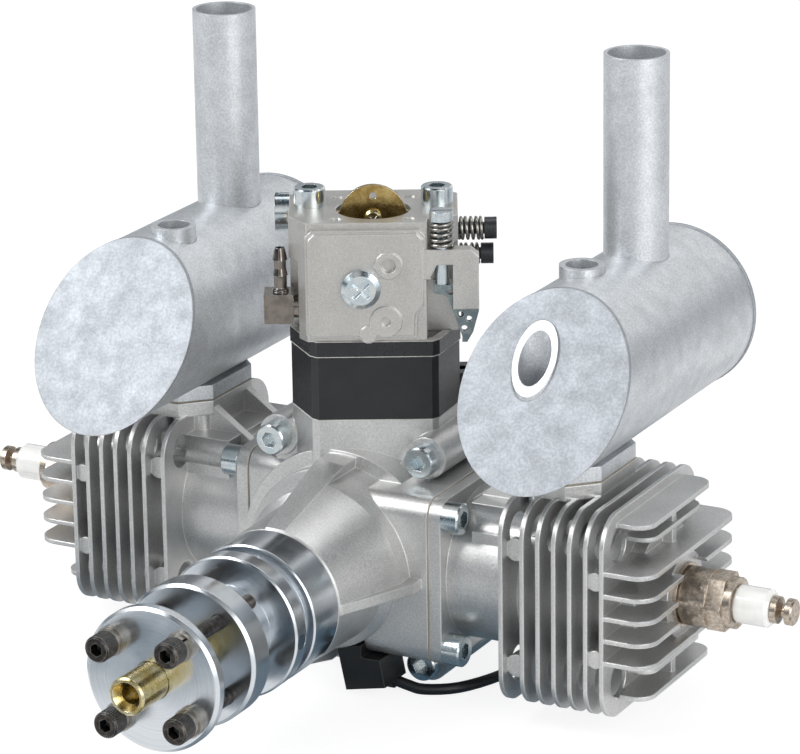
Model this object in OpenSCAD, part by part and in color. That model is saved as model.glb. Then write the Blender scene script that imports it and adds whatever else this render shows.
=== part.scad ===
// Flat twin two-stroke model aircraft engine with twin cylinders across the crank axis.
// Millimetres, +Z up. The origin is the centre of the firewall face, the propeller points to -Y.

/* [Crank and case] */
// Distance from the crank centre back to the firewall face
firewall_y = 44; // [42:1:60]
// Piston stroke
stroke = 30; // [26:1:31]
// Each cylinder's offset from the crank centre, along the crank
bank_offset = 7.8; // [7.6:0.1:8]
// Outer radius of the crankcase barrel
case_r = 29.5; // [29:0.25:31]
// Radius of the chamber in which the crank webs turn
chamber_r = 25; // [24.5:0.25:25.5]
// Front face of the crankcase barrel, in front of the crank centre
case_front = 21; // [20.5:0.25:23]
// Length of the crankcase behind the crank centre
case_rear = 31.5; // [31.5:0.5:32.5]
// Distance of the cylinder seat from the crank axis
deck_x = 31; // [30.5:0.25:32]
// Front end of the cast nose, in front of the crank centre
nose_front = 57.6; // [56:0.2:60]
// Radius of the nose at its front end
nose_r = 19.1; // [18.5:0.1:20]
// Crankshaft diameter in its bearings
shaft_d = 15; // [14:0.5:15.5]
// Radius of the crank webs
web_r = 23; // [21:0.5:24]

/* [Cylinders] */
// Cylinder bore
bore_d = 36; // [34:0.5:36.5]
// Barrel wall around the bore
barrel_wall = 2.5; // [2:0.1:3.5]
// Distance from one cooling fin to the next
fin_pitch = 4.51; // [4:0.1:5]
// Thickness of a cooling fin
fin_t = 1.2; // [1:0.1:1.6]
// Depth of the fins along the crank
fin_depth = 57.6; // [52:0.4:60]
// Height of the fins above the cylinder axis
fin_top = 27.4; // [26:0.2:28]
// Height of the fins below the cylinder axis
fin_bottom = 28.2; // [26:0.2:30]
// Distance of the first fin of the stack from the crank axis
fin_start = 60.5; // [60:0.25:62]
// Reach of the head fins beyond the stack
head_reach = 14; // [10:0.5:15]

/* [Pistons and rods] */
// Connecting rod length between its eyes
rod_len = 55; // [54:0.5:56]
// Piston length
piston_len = 28; // [26:0.5:28.5]
// Height of the piston crown over its pin
crown_h = 12; // [11.5:0.25:12.25]
// Diameter of the piston pin
wrist_d = 9; // [8:0.5:10]
// Diameter of the crank pin
crankpin_d = 10; // [9:0.5:11]
// Radial running clearance of the piston
piston_gap = 0.05; // [0.03:0.01:0.1]

/* [Drive hub and propeller seat] */
// Radius of the hub flanges and of the propeller washer
hub_r = 19.1; // [18.5:0.1:20]
// Front face of the hub, where the propeller seats
hub_front = 101.5; // [100:0.5:104]
// Front face of the propeller washer
washer_front = 119.3; // [115:0.5:125]
// Thickness of the propeller washer
washer_t = 3; // [2:0.25:4]
// Propeller bolt circle diameter
prop_pcd = 28.1; // [27:0.1:29]
// Propeller bolt diameter
prop_bolt_d = 4; // [3.5:0.5:4]
// Diameter of the centring stud
stud_d = 10; // [9:0.5:10.5]
// Front end of the centring stud
stud_front = 131.3; // [128:0.5:136]

/* [Mufflers] */
// Distance of each muffler's axis from the crank axis
muffler_x = 62.2; // [61:0.2:63]
// Height of the muffler axes over the crank axis
muffler_z = 56.1; // [55.5:0.1:58]
// Outer radius of the muffler can
can_r = 22.8; // [22:0.1:23]
// Wall thickness of the can
can_t = 1; // [0.8:0.1:1.4]
// Rear end of the right can behind the crank centre
can_rear = 57; // [54:0.5:60]
// Position of both outlet stubs behind the crank centre
stub_y = 30.8; // [30:0.2:32]
// Outer diameter of an outlet stub
stub_d = 17.4; // [16:0.2:18]
// Wall of an outlet stub
stub_t = 1; // [0.8:0.1:1.2]
// Top of the outlet stubs over the crank axis
stub_top = 132.4; // [120:0.4:140]
// Spacing of the two bolts of an exhaust flange
flange_bolt_pitch = 28; // [26:0.5:28.5]

/* [Carburettor] */
// Turn of the carburettor about the vertical
carb_turn = 27.5; // [25:0.5:30]
// Height of the intake neck over the crank axis
neck_top = 37.5; // [37:0.1:38.5]
// Height of the insulator block
block_h = 17.5; // [16:0.5:20]
// Height of the upper insulator plate
plate_h = 4.2; // [3:0.2:5]
// Height of the carburettor body
carb_h = 32.3; // [31.5:0.1:33]
// Width of the carburettor body
carb_w = 44.6; // [43.8:0.2:45]
// Half spacing of the two carburettor screws
carb_screw_x = 16.85; // [16.5:0.05:17]
// Radius of the air bore
air_bore_r = 9.9; // [9.7:0.1:10.2]
// Radius of the throttle bore
throttle_bore_r = 9.2; // [8.8:0.1:9.4]

/* [Ignition] */
// Width across the flats of the spark plug hexagon
plug_hex = 14; // [13.5:0.5:14.5]
// Outer tip of a spark plug, from the crank axis
plug_tip = 125.1; // [123:0.5:128]
// Diameter of the sensor lead
lead_d = 3; // [2.6:0.1:3.2]
// Width of the ignition sensor
sensor_w = 12; // [11:0.5:13]

/* [Fasteners and clearances] */
// Diameter of the case, cylinder and carburettor screws
screw_d = 5; // [4.5:0.25:5]
// Radial clearance of a screw in its hole
screw_gap = 0.1; // [0.05:0.05:0.15]
// Radial clearance of a turning shaft in its bore
shaft_gap = 0.05; // [0.03:0.01:0.1]
// Thickness of the gaskets
gasket_t = 0.5; // [0.4:0.1:0.8]

/* [Hidden] */
$fn = 64;
eps = 0.01;

bore_r = bore_d / 2;
barrel_r = bore_r + barrel_wall;
shaft_r = shaft_d / 2;
throw_r = stroke / 2;
crankpin_r = crankpin_d / 2;
wrist_r = wrist_d / 2;
screw_r = screw_d / 2;
head_r = 0.85 * screw_d;
head_h = screw_d;
// Piston pin and crown at the outer end of the stroke
wrist_x = throw_r + rod_len;
piston_r = bore_r - piston_gap;
crown_x = wrist_x + crown_h;

// The case bolts stand at the corners of a rectangle around the barrel
case_bolt_x = 22.4;
case_bolt_z = 28.6;
case_boss_r = 5.7;
case_boss_front = 14.3;
case_web_w = 9.4;
// Cylinder seats: a rounded pad on each side with four screws
pad_y = 46.8;
pad_z = 46;
pad_round = 5;
base_bolt_y = 19.5;
base_bolt_z = 18.4;
flange_t = 3.5;
spigot_in = 5;
base_front = deck_x + gasket_t;
base_top = base_front + flange_t;
// Bearing seats along the nose: outer radius, width and front face of each bearing
main_r = 17.5;
main_w = 10;
nose_brg_r = 14;
nose_brg_w = 7;
main_front = 33;
nose_brg_front = 53;
rear_brg_rear = 34;
shaft_bore_r = shaft_r + 1.5;

// Head and exhaust
fin_count = 6;
first_fin_x = 54.4;
fin_round = 9;
head_x = fin_start + (fin_count - 1) * fin_pitch + fin_t;
port_x = 60.3;
port_r = 7.5;
// Exhaust window in the bore: its span along the cylinder and its width
window_x0 = 54.3;
window_x1 = 60.8;
window_w = 17;
ex_flange_top = 31;
ex_flange_t = 4;
ex_w = 26;
ex_l = 35;
ex_chamfer = 7;
mflange_top = ex_flange_top + gasket_t + 4;
ex_bolt_x = 58;
ex_bolt_r = 2;

// Firewall bosses on the rear cover
mount_x = 30;
mount_z = 26;
mount_boss_r = 6.5;
mount_hole_r = 2.5;
mount_hole_depth = 12;
cover_t = 6;
cover_front = case_rear + gasket_t;

// Levels of the carburettor stack, and depths in its turned frame, forward is -Y
block_top = neck_top + block_h;
carb_z = block_top + plate_h;
carb_top = carb_z + carb_h;
bore_fwd = 3.4;
carb_screw_fwd = -1.4;
body_front = 17.1;
body_back = 15.4;
choke_z = carb_top - 1.9;
throttle_z = carb_z + 6.8;
choke_r = 1.5;
throttle_r = 1.8;
butterfly_t = 1;
idle_x = 17.9;
idle_fwd = 17.3;
idle_r = 1.75;
arm_top = carb_z + 25.4;
needle_fwd = -8;
needle_hi_z = carb_z + 23.5;
needle_lo_z = carb_z + 16.5;
needle_r = 1.6;
needle_top = 29.4;
elbow_fwd = 8;
side_x = carb_w / 2 - 2.5;
elbow_z = carb_z + 7.4;

// Route of the sensor lead, chosen by hand, on the floor under the case bosses
floor_z = -(case_bolt_z + case_boss_r);
lead_z = floor_z + lead_d / 2;
LEAD = [
    [15, -25, -31.3], [18, -25, -31.3], [21.5, -24.9, -32], [26, -24, lead_z], [33.8, -18.8, lead_z],
    [39.7, -6.6, lead_z], [42, 8, lead_z], [42, 24, lead_z], [38, 40, lead_z],
    [30, 54, lead_z], [27, 66, lead_z], [27, 74, lead_z]
];
coil_turn_r = 15;
coil_x = 27 - coil_turn_r;
coil_y = 74;

// Places a child that is drawn around the crank centre
module at_crank() {
    translate([0, -firewall_y, 0]) children();
}

// Places a cylinder's own frame, with its axis along +X, on the right or the left
module bank(side) {
    rotate([0, 0, side > 0 ? 0 : 180])
        translate([0, -bank_offset, 0]) children();
}

module both_banks() {
    bank(1) children();
    bank(-1) children();
}

// Places the carburettor's turned frame, in which the front is -Y
module carb_frame() {
    rotate([0, 0, carb_turn]) children();
}

module along_x() {
    rotate([90, 0, 90]) children();
}

// Turns a profile of [radius, y] points around the crank axis
module turned(points, a = 360, from = 0) {
    rotate([90, 0, 0])
        rotate([0, 0, from])
            rotate_extrude(angle = a) polygon([for (p = points) [p[0], -p[1]]]);
}

module disc_y(r, y0, y1) {
    translate([0, y0, 0]) rotate([-90, 0, 0]) cylinder(r = r, h = y1 - y0);
}

module disc_x(r, x0, x1) {
    translate([x0, 0, 0]) rotate([0, 90, 0]) cylinder(r = r, h = x1 - x0);
}

module rrect(w, h, r) {
    square([w - 2 * r, h], center = true);
    square([w, h - 2 * r], center = true);
    for (i = [-1, 1], j = [-1, 1])
        translate([i * (w / 2 - r), j * (h / 2 - r)]) circle(r = r);
}

// Rectangle from x0 to x1 and y0 to y1, with its two corners on the x1 side rounded
module tongue(x0, x1, y0, y1, r) {
    translate([x0, y0]) square([x1 - x0 - r, y1 - y0]);
    translate([x0, y0 + r]) square([x1 - x0, y1 - y0 - 2 * r]);
    for (y = [y0 + r, y1 - r])
        translate([x1 - r, y]) circle(r = r);
}

// Socket head cap screw, its head standing on z = 0 and its shank pointing down
module cap_screw(d, len, key = 0.8) {
    difference() {
        union() {
            cylinder(r = 0.85 * d, h = d - 0.4);
            translate([0, 0, d - 0.4]) cylinder(r1 = 0.85 * d, r2 = 0.85 * d - 0.4, h = 0.4);
            translate([0, 0, -len]) cylinder(r = d / 2, h = len + eps);
        }
        translate([0, 0, d * 0.45]) cylinder(d = key * d / cos(30), h = d, $fn = 6);
    }
}

// Pan head screw with a cross recess, its head standing on z = 0
module pan_screw(r, h, shank_r, len) {
    difference() {
        union() {
            cylinder(r = r, h = h * 0.6);
            translate([0, 0, h * 0.6]) cylinder(r1 = r, r2 = r * 0.75, h = h * 0.4);
            translate([0, 0, -len]) cylinder(r = shank_r, h = len + eps);
        }
        for (a = [0, 90])
            rotate([0, 0, a + 45])
                translate([-r * 0.55, -r * 0.1, h * 0.45]) cube([r * 1.1, r * 0.2, h]);
    }
}

module case_bolt_spots() {
    for (i = [-1, 1], j = [-1, 1])
        translate([i * case_bolt_x, 0, j * case_bolt_z]) children();
}

// Exhaust flange outline around the muffler axis, with chamfered corners
module ex_outline() {
    w = ex_w / 2;
    l = ex_l / 2;
    c = ex_chamfer;
    polygon([
        [-w, -l + c], [-w + c, -l], [w - c, -l], [w, -l + c],
        [w, l - c], [w - c, l], [-w + c, l], [-w, l - c]
    ]);
}

// Insulator outline in the carburettor's frame
module neck_outline(grow = 0) {
    a = 15 + grow;
    b = 22.4 + grow;
    d = 17.2 + grow;
    polygon([
        [-a, -d], [a, -d], [a + 1.8, -d + 1.6], [b, -2], [b, 2], [a + 1.8, d - 1.6],
        [a, d], [-a, d], [-a - 1.8, d - 1.6], [-b, 2], [-b, -2], [-a - 1.8, -d + 1.6]
    ]);
}

module carb_screw_spots() {
    for (i = [-1, 1])
        translate([i * carb_screw_x, -carb_screw_fwd, 0]) children();
}

// Crankcase

// Nose with its bearing housing, as a profile of [radius, y]
module nose(grow = 0) {
    g = grow;
    turned([
        [0, -nose_front], [nose_r + g, -nose_front], [nose_r + 0.7 + g, -main_front - 2 - g],
        [main_r + 4.5 + g, -main_front - g], [main_r + 4.5 + g, -main_front + 7 - g],
        [main_r + 8 + g, -main_front + 8 - g], [main_r + 8 + g, 0], [0, 0]
    ]);
}

// Broad gusset over the upper right quarter of the nose, with a curved pocket
module quarter_gusset() {
    y0 = -nose_front + 0.4;
    y1 = -36.5;
    r1 = 25.8;
    back = -case_front + 1.3;
    r0 = nose_r - 3;
    difference() {
        union() {
            turned([[r0, y0], [nose_r + 0.2, y0], [r1, y1], [r1, back], [r0, back]], 82, 0);
            turned([[r0 + 0.2, y0], [nose_r + 0.4, y0], [28.6, -28], [28.6, back], [r0 + 0.2, back]], 17, 80);
        }
        turned([
            [20.9, -50], [21.9, -46.6], [24.9, -37.2], [23.4, -36], [20.4, -45], [19.6, -47.5]
        ], 60, 13);
    }
}

// Flat rib from the nose to the barrel
module nose_rib(a, reach, y_end) {
    rotate([0, -a, 0]) translate([0, 0, -1.4])
        linear_extrude(2.8)
            polygon([
                [nose_r - 2, -nose_front + 0.7], [nose_r + 0.5, -nose_front + 0.7], [reach, y_end],
                [reach, -case_front + 1.6], [nose_r - 2, -case_front + 1.6]
            ]);
}

module cylinder_pad() {
    translate([12, 0, 0])
        along_x() linear_extrude(deck_x - 12) rrect(pad_y, pad_z, pad_round);
}

module crankcase() {
    color("#a09c96") at_crank() difference() {
        union() {
            nose();
            quarter_gusset();
            nose_rib(0, 29.2, -35.7);
            nose_rib(180, 27.5, -31);
            nose_rib(270, 26.5, -30);
            disc_y(case_r, -case_front, case_rear);
            both_banks() cylinder_pad();
            case_bolt_spots() disc_y(case_boss_r, -case_boss_front, case_rear);
            // Webs that carry the bolt bosses on the barrel
            for (i = [-1, 1], j = [-1, 1])
                rotate([0, -atan2(j * case_bolt_z, i * case_bolt_x), 0])
                    translate([chamber_r + 1.5, -case_boss_front + 0.4, -case_web_w / 2])
                        cube([norm([case_bolt_x, case_bolt_z]) - chamber_r - 1.5,
                              case_boss_front + case_rear - 0.8, case_web_w]);
            carb_frame() translate([0, 0, 12]) linear_extrude(neck_top - 12) neck_outline();
        }
        disc_y(chamber_r, -case_front + 1.2, case_rear + 1);
        // Bearing and seal seats
        disc_y(shaft_bore_r, -nose_front - 1, 0);
        disc_y(main_r, -main_front + 2, 0);
        disc_y(nose_brg_r, -nose_front - 1, -nose_brg_front + nose_brg_w);
        both_banks() disc_x(barrel_r - 0.2 + screw_gap, 8, deck_x + 1);
        both_banks() base_bolt_holes(screw_r + screw_gap / 2, 14, deck_x + 1);
        // Intake passage and its two tapped holes
        carb_frame() translate([-12, -9, 10]) cube([24, 18, neck_top]);
        carb_frame() carb_screw_spots()
            translate([0, 0, neck_top - 12]) cylinder(r = screw_r + screw_gap / 2, h = 13);
        case_bolt_spots() disc_y(screw_r + screw_gap, -case_boss_front - 1, case_rear + 1);
        // Nothing of the barrel stands past the cylinder seats
        for (s = [0, 180]) rotate([0, 0, s]) translate([deck_x + eps, -30, -30]) cube([9, 60, 60]);
        // The rod of each bank leaves the chamber through its own window
        both_banks() translate([0, 0, 0]) disc_x(bore_r, 0, deck_x);
    }
}

module base_bolt_holes(r, x0, x1) {
    for (i = [-1, 1], j = [-1, 1])
        translate([0, i * base_bolt_y, j * base_bolt_z]) disc_x(r, x0, x1);
}

module rear_cover() {
    color("#a09c96") at_crank() difference() {
        union() {
            translate([0, cover_front, 0]) rotate([-90, 0, 0]) linear_extrude(cover_t) {
                circle(r = case_r);
                for (i = [-1, 1], j = [-1, 1]) {
                    translate([i * case_bolt_x, j * case_bolt_z]) circle(r = case_boss_r);
                    rotate(atan2(j * case_bolt_z, i * case_bolt_x))
                        translate([0, -case_web_w / 2])
                            square([norm([case_bolt_x, case_bolt_z]), case_web_w]);
                }
            }
            // Firewall bosses with their arms
            for (i = [-1, 1], j = [-1, 1]) {
                translate([i * mount_x, 0, j * mount_z])
                    disc_y(mount_boss_r, cover_front + 0.6, firewall_y);
                rotate([0, -atan2(j * mount_z, i * mount_x), 0])
                    translate([24, cover_front + 0.9, -3.5])
                        cube([norm([mount_x, mount_z]) - 24, cover_t + 0.6, 7]);
            }
            disc_y(main_r + 3, cover_front + 2, rear_brg_rear + 7);
        }
        disc_y(main_r, cover_front - 1, cover_front + 6.5);
        disc_y(shaft_bore_r, cover_front, rear_brg_rear + 5);
        case_bolt_spots() disc_y(screw_r + screw_gap / 2, cover_front - 1, cover_front + cover_t + 1);
        for (i = [-1, 1], j = [-1, 1])
            translate([i * mount_x, 0, j * mount_z])
                disc_y(mount_hole_r, firewall_y - mount_hole_depth, firewall_y + 1);
    }
}

module case_bolts() {
    color("#b9c2cc") at_crank() case_bolt_spots()
        translate([0, -case_boss_front, 0]) rotate([90, 0, 0])
            cap_screw(screw_d, case_boss_front + cover_front + cover_t - 0.5);
}

module ring_gasket_2d() {
    difference() {
        union() {
            circle(r = case_r);
            for (i = [-1, 1], j = [-1, 1])
                translate([i * case_bolt_x, j * case_bolt_z]) circle(r = case_boss_r);
        }
        circle(r = chamber_r);
        for (i = [-1, 1], j = [-1, 1])
            translate([i * case_bolt_x, j * case_bolt_z]) circle(r = screw_r + screw_gap);
    }
}

module gaskets() {
    color("#8a7f6a") at_crank() {
        translate([0, case_rear, 0]) rotate([-90, 0, 0]) linear_extrude(gasket_t) ring_gasket_2d();
        both_banks() difference() {
            translate([deck_x, 0, 0])
                along_x() linear_extrude(gasket_t) rrect(pad_y, pad_z, pad_round);
            disc_x(barrel_r + screw_gap, deck_x - 1, deck_x + 1);
            base_bolt_holes(screw_r + screw_gap, deck_x - 1, deck_x + 1);
        }
        for (s = [-1, 1])
            translate([s * muffler_x, -s * bank_offset, ex_flange_top]) difference() {
                linear_extrude(gasket_t) ex_outline();
                exhaust_holes(s, -1, 1);
            }
    }
}

// Port hole and two bolt holes through an exhaust flange, in the flange's own frame
module exhaust_holes(s, z0, z1) {
    translate([s * (port_x - muffler_x), 0, z0]) cylinder(r = port_r, h = z1 - z0);
    for (j = [-1, 1])
        translate([s * (ex_bolt_x - muffler_x), j * flange_bolt_pitch / 2, z0])
            cylinder(r = ex_bolt_r + screw_gap, h = z1 - z0);
}

// Crank train

web_in = bank_offset + crankpin_len() / 2;
function crankpin_len() = 10.8;
web_t = 6;
pin_gap = 0.2;

module crankshaft_front() {
    color("#8f9296") at_crank() difference() {
        union() {
            disc_y(web_r, -web_in - web_t, -web_in);
            disc_y(shaft_r + 2.5, -web_in - web_t - 0.8, -web_in);
            disc_y(shaft_r, -hub_front + 4, -web_in);
        }
        // Thread for the centring stud
        disc_y(stud_d / 2 - 1 + shaft_gap, -hub_front + 3, -hub_front + 20);
    }
}

module crank_mid_web() {
    t = bank_offset - crankpin_len() / 2;
    color("#8f9296") at_crank() disc_y(web_r, -t, t);
}

module crankshaft_rear() {
    color("#8f9296") at_crank() {
        disc_y(web_r, web_in, web_in + web_t);
        disc_y(shaft_r + 2.5, web_in, web_in + web_t + 1);
        disc_y(shaft_r, web_in, rear_brg_rear + 4);
    }
}

// Bearings: front face of each, with inner radius, outer radius and width
function bearings() = [
    [-nose_brg_front, shaft_r, nose_brg_r, nose_brg_w],
    [-main_front + 2, shaft_r, main_r, main_w],
    [cover_front + 6.5 - main_w, shaft_r, main_r, main_w]
];

function pitch_r(b) = (b[1] + b[2]) / 2;
function ball_r(b) = 0.26 * (b[2] - b[1]);

module race_2d(b, r0, r1) {
    difference() {
        translate([r0, 0]) square([r1 - r0, b[3]]);
        translate([pitch_r(b), b[3] / 2]) circle(r = ball_r(b) + shaft_gap);
    }
}

module bearing_outer_rings() {
    color("#9a9da1") at_crank()
        for (b = bearings())
            translate([0, b[0], 0]) rotate([-90, 0, 0])
                rotate_extrude() race_2d(b, b[2] - 0.27 * (b[2] - b[1]), b[2]);
}

module bearing_balls() {
    color("#c8ccd0") at_crank()
        for (b = bearings(), i = [0:8])
            translate([0, b[0] + b[3] / 2, 0])
                rotate([0, i * 40, 0]) translate([pitch_r(b), 0, 0]) sphere(r = ball_r(b));
}

module bearing_inner_rings() {
    color("#9a9da1") at_crank()
        for (b = bearings())
            translate([0, b[0], 0]) rotate([-90, 0, 0])
                rotate_extrude() race_2d(b, b[1], b[1] + 0.27 * (b[2] - b[1]));
}

module shaft_seal() {
    color("#2a2a2c") at_crank() difference() {
        disc_y(nose_brg_r, -nose_front + 0.4, -nose_brg_front);
        disc_y(shaft_r + shaft_gap, -nose_front, -nose_brg_front + 1);
    }
}

// The crank pins ride with the rods, and stop just short of the web faces
module crank_pin() {
    l = crankpin_len() / 2 - pin_gap;
    translate([throw_r, 0, 0]) disc_y(crankpin_r, -l, l);
}

module crank_pin_right() { color("#8f9296") at_crank() bank(1) crank_pin(); }
module crank_pin_left() { color("#8f9296") at_crank() bank(-1) crank_pin(); }

rod_w = 9.2;
big_eye_r = crankpin_r + 3.2;
small_eye_r = wrist_r + 2;

module con_rod() {
    difference() {
        union() {
            translate([throw_r, 0, 0]) disc_y(big_eye_r, -rod_w / 2, rod_w / 2);
            translate([wrist_x, 0, 0]) disc_y(small_eye_r, -rod_w / 2, rod_w / 2);
            translate([throw_r, -2.5, 0]) rotate([-90, 0, 0])
                linear_extrude(5)
                    polygon([[0, -5.5], [rod_len, -4], [rod_len, 4], [0, 5.5]]);
        }
        translate([throw_r, 0, 0]) disc_y(crankpin_r + shaft_gap, -rod_w, rod_w);
        translate([wrist_x, 0, 0]) disc_y(wrist_r + shaft_gap, -rod_w, rod_w);
        // The shank's two grooves
        for (s = [-1, 1])
            translate([throw_r + big_eye_r + 3, s * 2.5, 0])
                translate([0, -1.1, -2.2])
                    cube([rod_len - big_eye_r - small_eye_r - 6, 2.2, 4.4]);
    }
}

module con_rod_right() { color("#a9acb0") at_crank() bank(1) con_rod(); }
module con_rod_left() { color("#a9acb0") at_crank() bank(-1) con_rod(); }

ring_x = [crown_x - 5, crown_x - 8.5];
ring_h = 1.3;
ring_depth = 1.6;

module piston() {
    skirt_x = crown_x - piston_len;
    difference() {
        disc_x(piston_r, skirt_x, crown_x);
        difference() {
            disc_x(piston_r - 2, skirt_x - 1, crown_x - 3);
            // Pin bosses stay inside the skirt
            for (s = [-1, 1])
                translate([wrist_x, 0, 0])
                    disc_y(wrist_r + 2.5, s > 0 ? 6 : -piston_r, s > 0 ? piston_r : -6);
        }
        translate([wrist_x, 0, 0]) disc_y(wrist_r + shaft_gap, -bore_r, bore_r);
        for (x = ring_x) difference() {
            disc_x(bore_r, x, x + ring_h);
            disc_x(piston_r - ring_depth, x - 1, x + ring_h + 1);
        }
    }
}

module piston_right() { color("#b4b6b8") at_crank() bank(1) piston(); }
module piston_left() { color("#b4b6b8") at_crank() bank(-1) piston(); }

module wrist_pin() {
    translate([wrist_x, 0, 0]) difference() {
        disc_y(wrist_r, -bore_r + 2, bore_r - 2);
        disc_y(wrist_r - 2.2, -bore_r, bore_r);
    }
}

module wrist_pin_right() { color("#c0c3c6") at_crank() bank(1) wrist_pin(); }
module wrist_pin_left() { color("#c0c3c6") at_crank() bank(-1) wrist_pin(); }

module piston_rings() {
    for (x = ring_x) difference() {
        disc_x(piston_r + 0.02, x + 0.05, x + ring_h - 0.05);
        disc_x(piston_r - ring_depth + 0.1, x - 1, x + ring_h + 1);
    }
}

module piston_rings_right() { color("#6d7074") at_crank() bank(1) piston_rings(); }
module piston_rings_left() { color("#6d7074") at_crank() bank(-1) piston_rings(); }

// Drive hub and propeller clamp

prop_turn = -5;
prop_head_h = 5;
spring_washer_t = 1.6;
flat_washer_t = 1.4;
drum_rear = nose_front + 0.4;
groove_in = 16.5;
throat_r = 11.5;

module prop_spots() {
    for (i = [0:3])
        rotate([0, 45 + 90 * i + prop_turn, 0])
            translate([prop_pcd / 2, 0, 0]) children();
}

module drive_hub() {
    color("#d5d9dd") at_crank() difference() {
        turned([
            [shaft_r + 0.02, -hub_front], [hub_r - 0.8, -hub_front], [hub_r, -hub_front + 0.8],
            [hub_r, -hub_front + 7.6], [hub_r - 0.5, -hub_front + 8.1], [throat_r, -hub_front + 8.1],
            [throat_r, -79.7], [hub_r - 0.5, -79.7], [hub_r, -79.2], [hub_r, -74.9], [hub_r - 0.4, -74.5],
            [groove_in, -74.5], [groove_in, -70.2], [hub_r - 0.4, -70.2], [hub_r, -69.8],
            [hub_r, -drum_rear], [shaft_r + 0.02, -drum_rear]
        ]);
        prop_spots() disc_y(prop_bolt_d / 2 + screw_gap / 2, -hub_front - 1, -hub_front + 9);
        // Magnet pocket in the rear flange
        translate([0, -77.1, 0]) rotate([0, 5, 0])
            translate([hub_r - 3, 0, 0]) rotate([0, 90, 0]) cylinder(r = 2.05, h = 4);
    }
}

module hub_magnet() {
    color("#b8bcc0") at_crank() translate([0, -77.1, 0]) rotate([0, 5, 0])
        translate([hub_r - 3, 0, 0]) rotate([0, 90, 0]) cylinder(r = 2, h = 2.9);
}

module prop_stud() {
    color("#c9b56a") at_crank() difference() {
        union() {
            turned([
                [0, -stud_front], [stud_d / 2 - 0.5, -stud_front], [stud_d / 2, -stud_front + 0.5],
                [stud_d / 2, -washer_front + washer_t + 3], [stud_d / 2 + 0.9, -washer_front + washer_t + 3],
                [stud_d / 2 + 0.9, -hub_front + 3.95], [stud_d / 2 - 1, -hub_front + 3.95],
                [stud_d / 2 - 1, -hub_front + 18], [0, -hub_front + 18]
            ]);
        }
        turned([
            [0, -stud_front - 1], [stud_d / 2 - 1.1, -stud_front - 1], [stud_d / 2 - 1.1, -stud_front],
            [2.5, -stud_front + 2.2], [2.5, -stud_front + 10.2], [0, -stud_front + 11.2]
        ]);
    }
}

module prop_washer() {
    color("#ccd1d6") at_crank() difference() {
        turned([
            [stud_d / 2 + screw_gap, -washer_front], [hub_r - 0.8, -washer_front],
            [hub_r, -washer_front + 0.8], [hub_r, -washer_front + washer_t],
            [stud_d / 2 + screw_gap, -washer_front + washer_t]
        ]);
        prop_spots() disc_y(prop_bolt_d / 2 + screw_gap, -washer_front - 1, -washer_front + washer_t + 1);
    }
}

prop_head_seat = washer_front + flat_washer_t + spring_washer_t;

module prop_bolts() {
    color("#4a4744") at_crank() prop_spots()
        translate([0, -prop_head_seat, 0]) rotate([90, 0, 0]) difference() {
            union() {
                cylinder(r = 3.5, h = prop_head_h - 0.4);
                translate([0, 0, prop_head_h - 0.4]) cylinder(r1 = 3.5, r2 = 3.1, h = 0.4);
                translate([0, 0, hub_front - 15.5 - prop_head_seat])
                    cylinder(r = prop_bolt_d / 2, h = prop_head_seat - hub_front + 15.5 + eps);
            }
            translate([0, 0, 2]) cylinder(d = 3.4, h = prop_head_h, $fn = 6);
        }
}

module prop_bolt_washers() {
    color("#8f8b86") at_crank() prop_spots() {
        difference() {
            disc_y(3.9, -washer_front - flat_washer_t, -washer_front);
            disc_y(prop_bolt_d / 2 + screw_gap, -washer_front - 3, -washer_front + 1);
        }
        // Split spring washer
        difference() {
            disc_y(3.45, -prop_head_seat, -washer_front - flat_washer_t);
            disc_y(prop_bolt_d / 2 + screw_gap, -prop_head_seat - 1, -washer_front);
            translate([0, -washer_front - 4.5, -0.3]) rotate([0, 0, 0]) cube([5, 4, 0.6]);
        }
    }
}

// Cylinders

// One fin in the plane across the cylinder axis
module cross_fin(x, half, top, bottom) {
    translate([x, 0, (top - bottom) / 2])
        along_x() linear_extrude(fin_t) rrect(2 * half, top + bottom, fin_round);
}

// One flat fin on the head, with its outer corners rounded
module head_fin(z, half, x0, x1, r) {
    translate([0, 0, z - fin_t / 2])
        linear_extrude(fin_t) tongue(x0, x1, -half, half, r);
}

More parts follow.
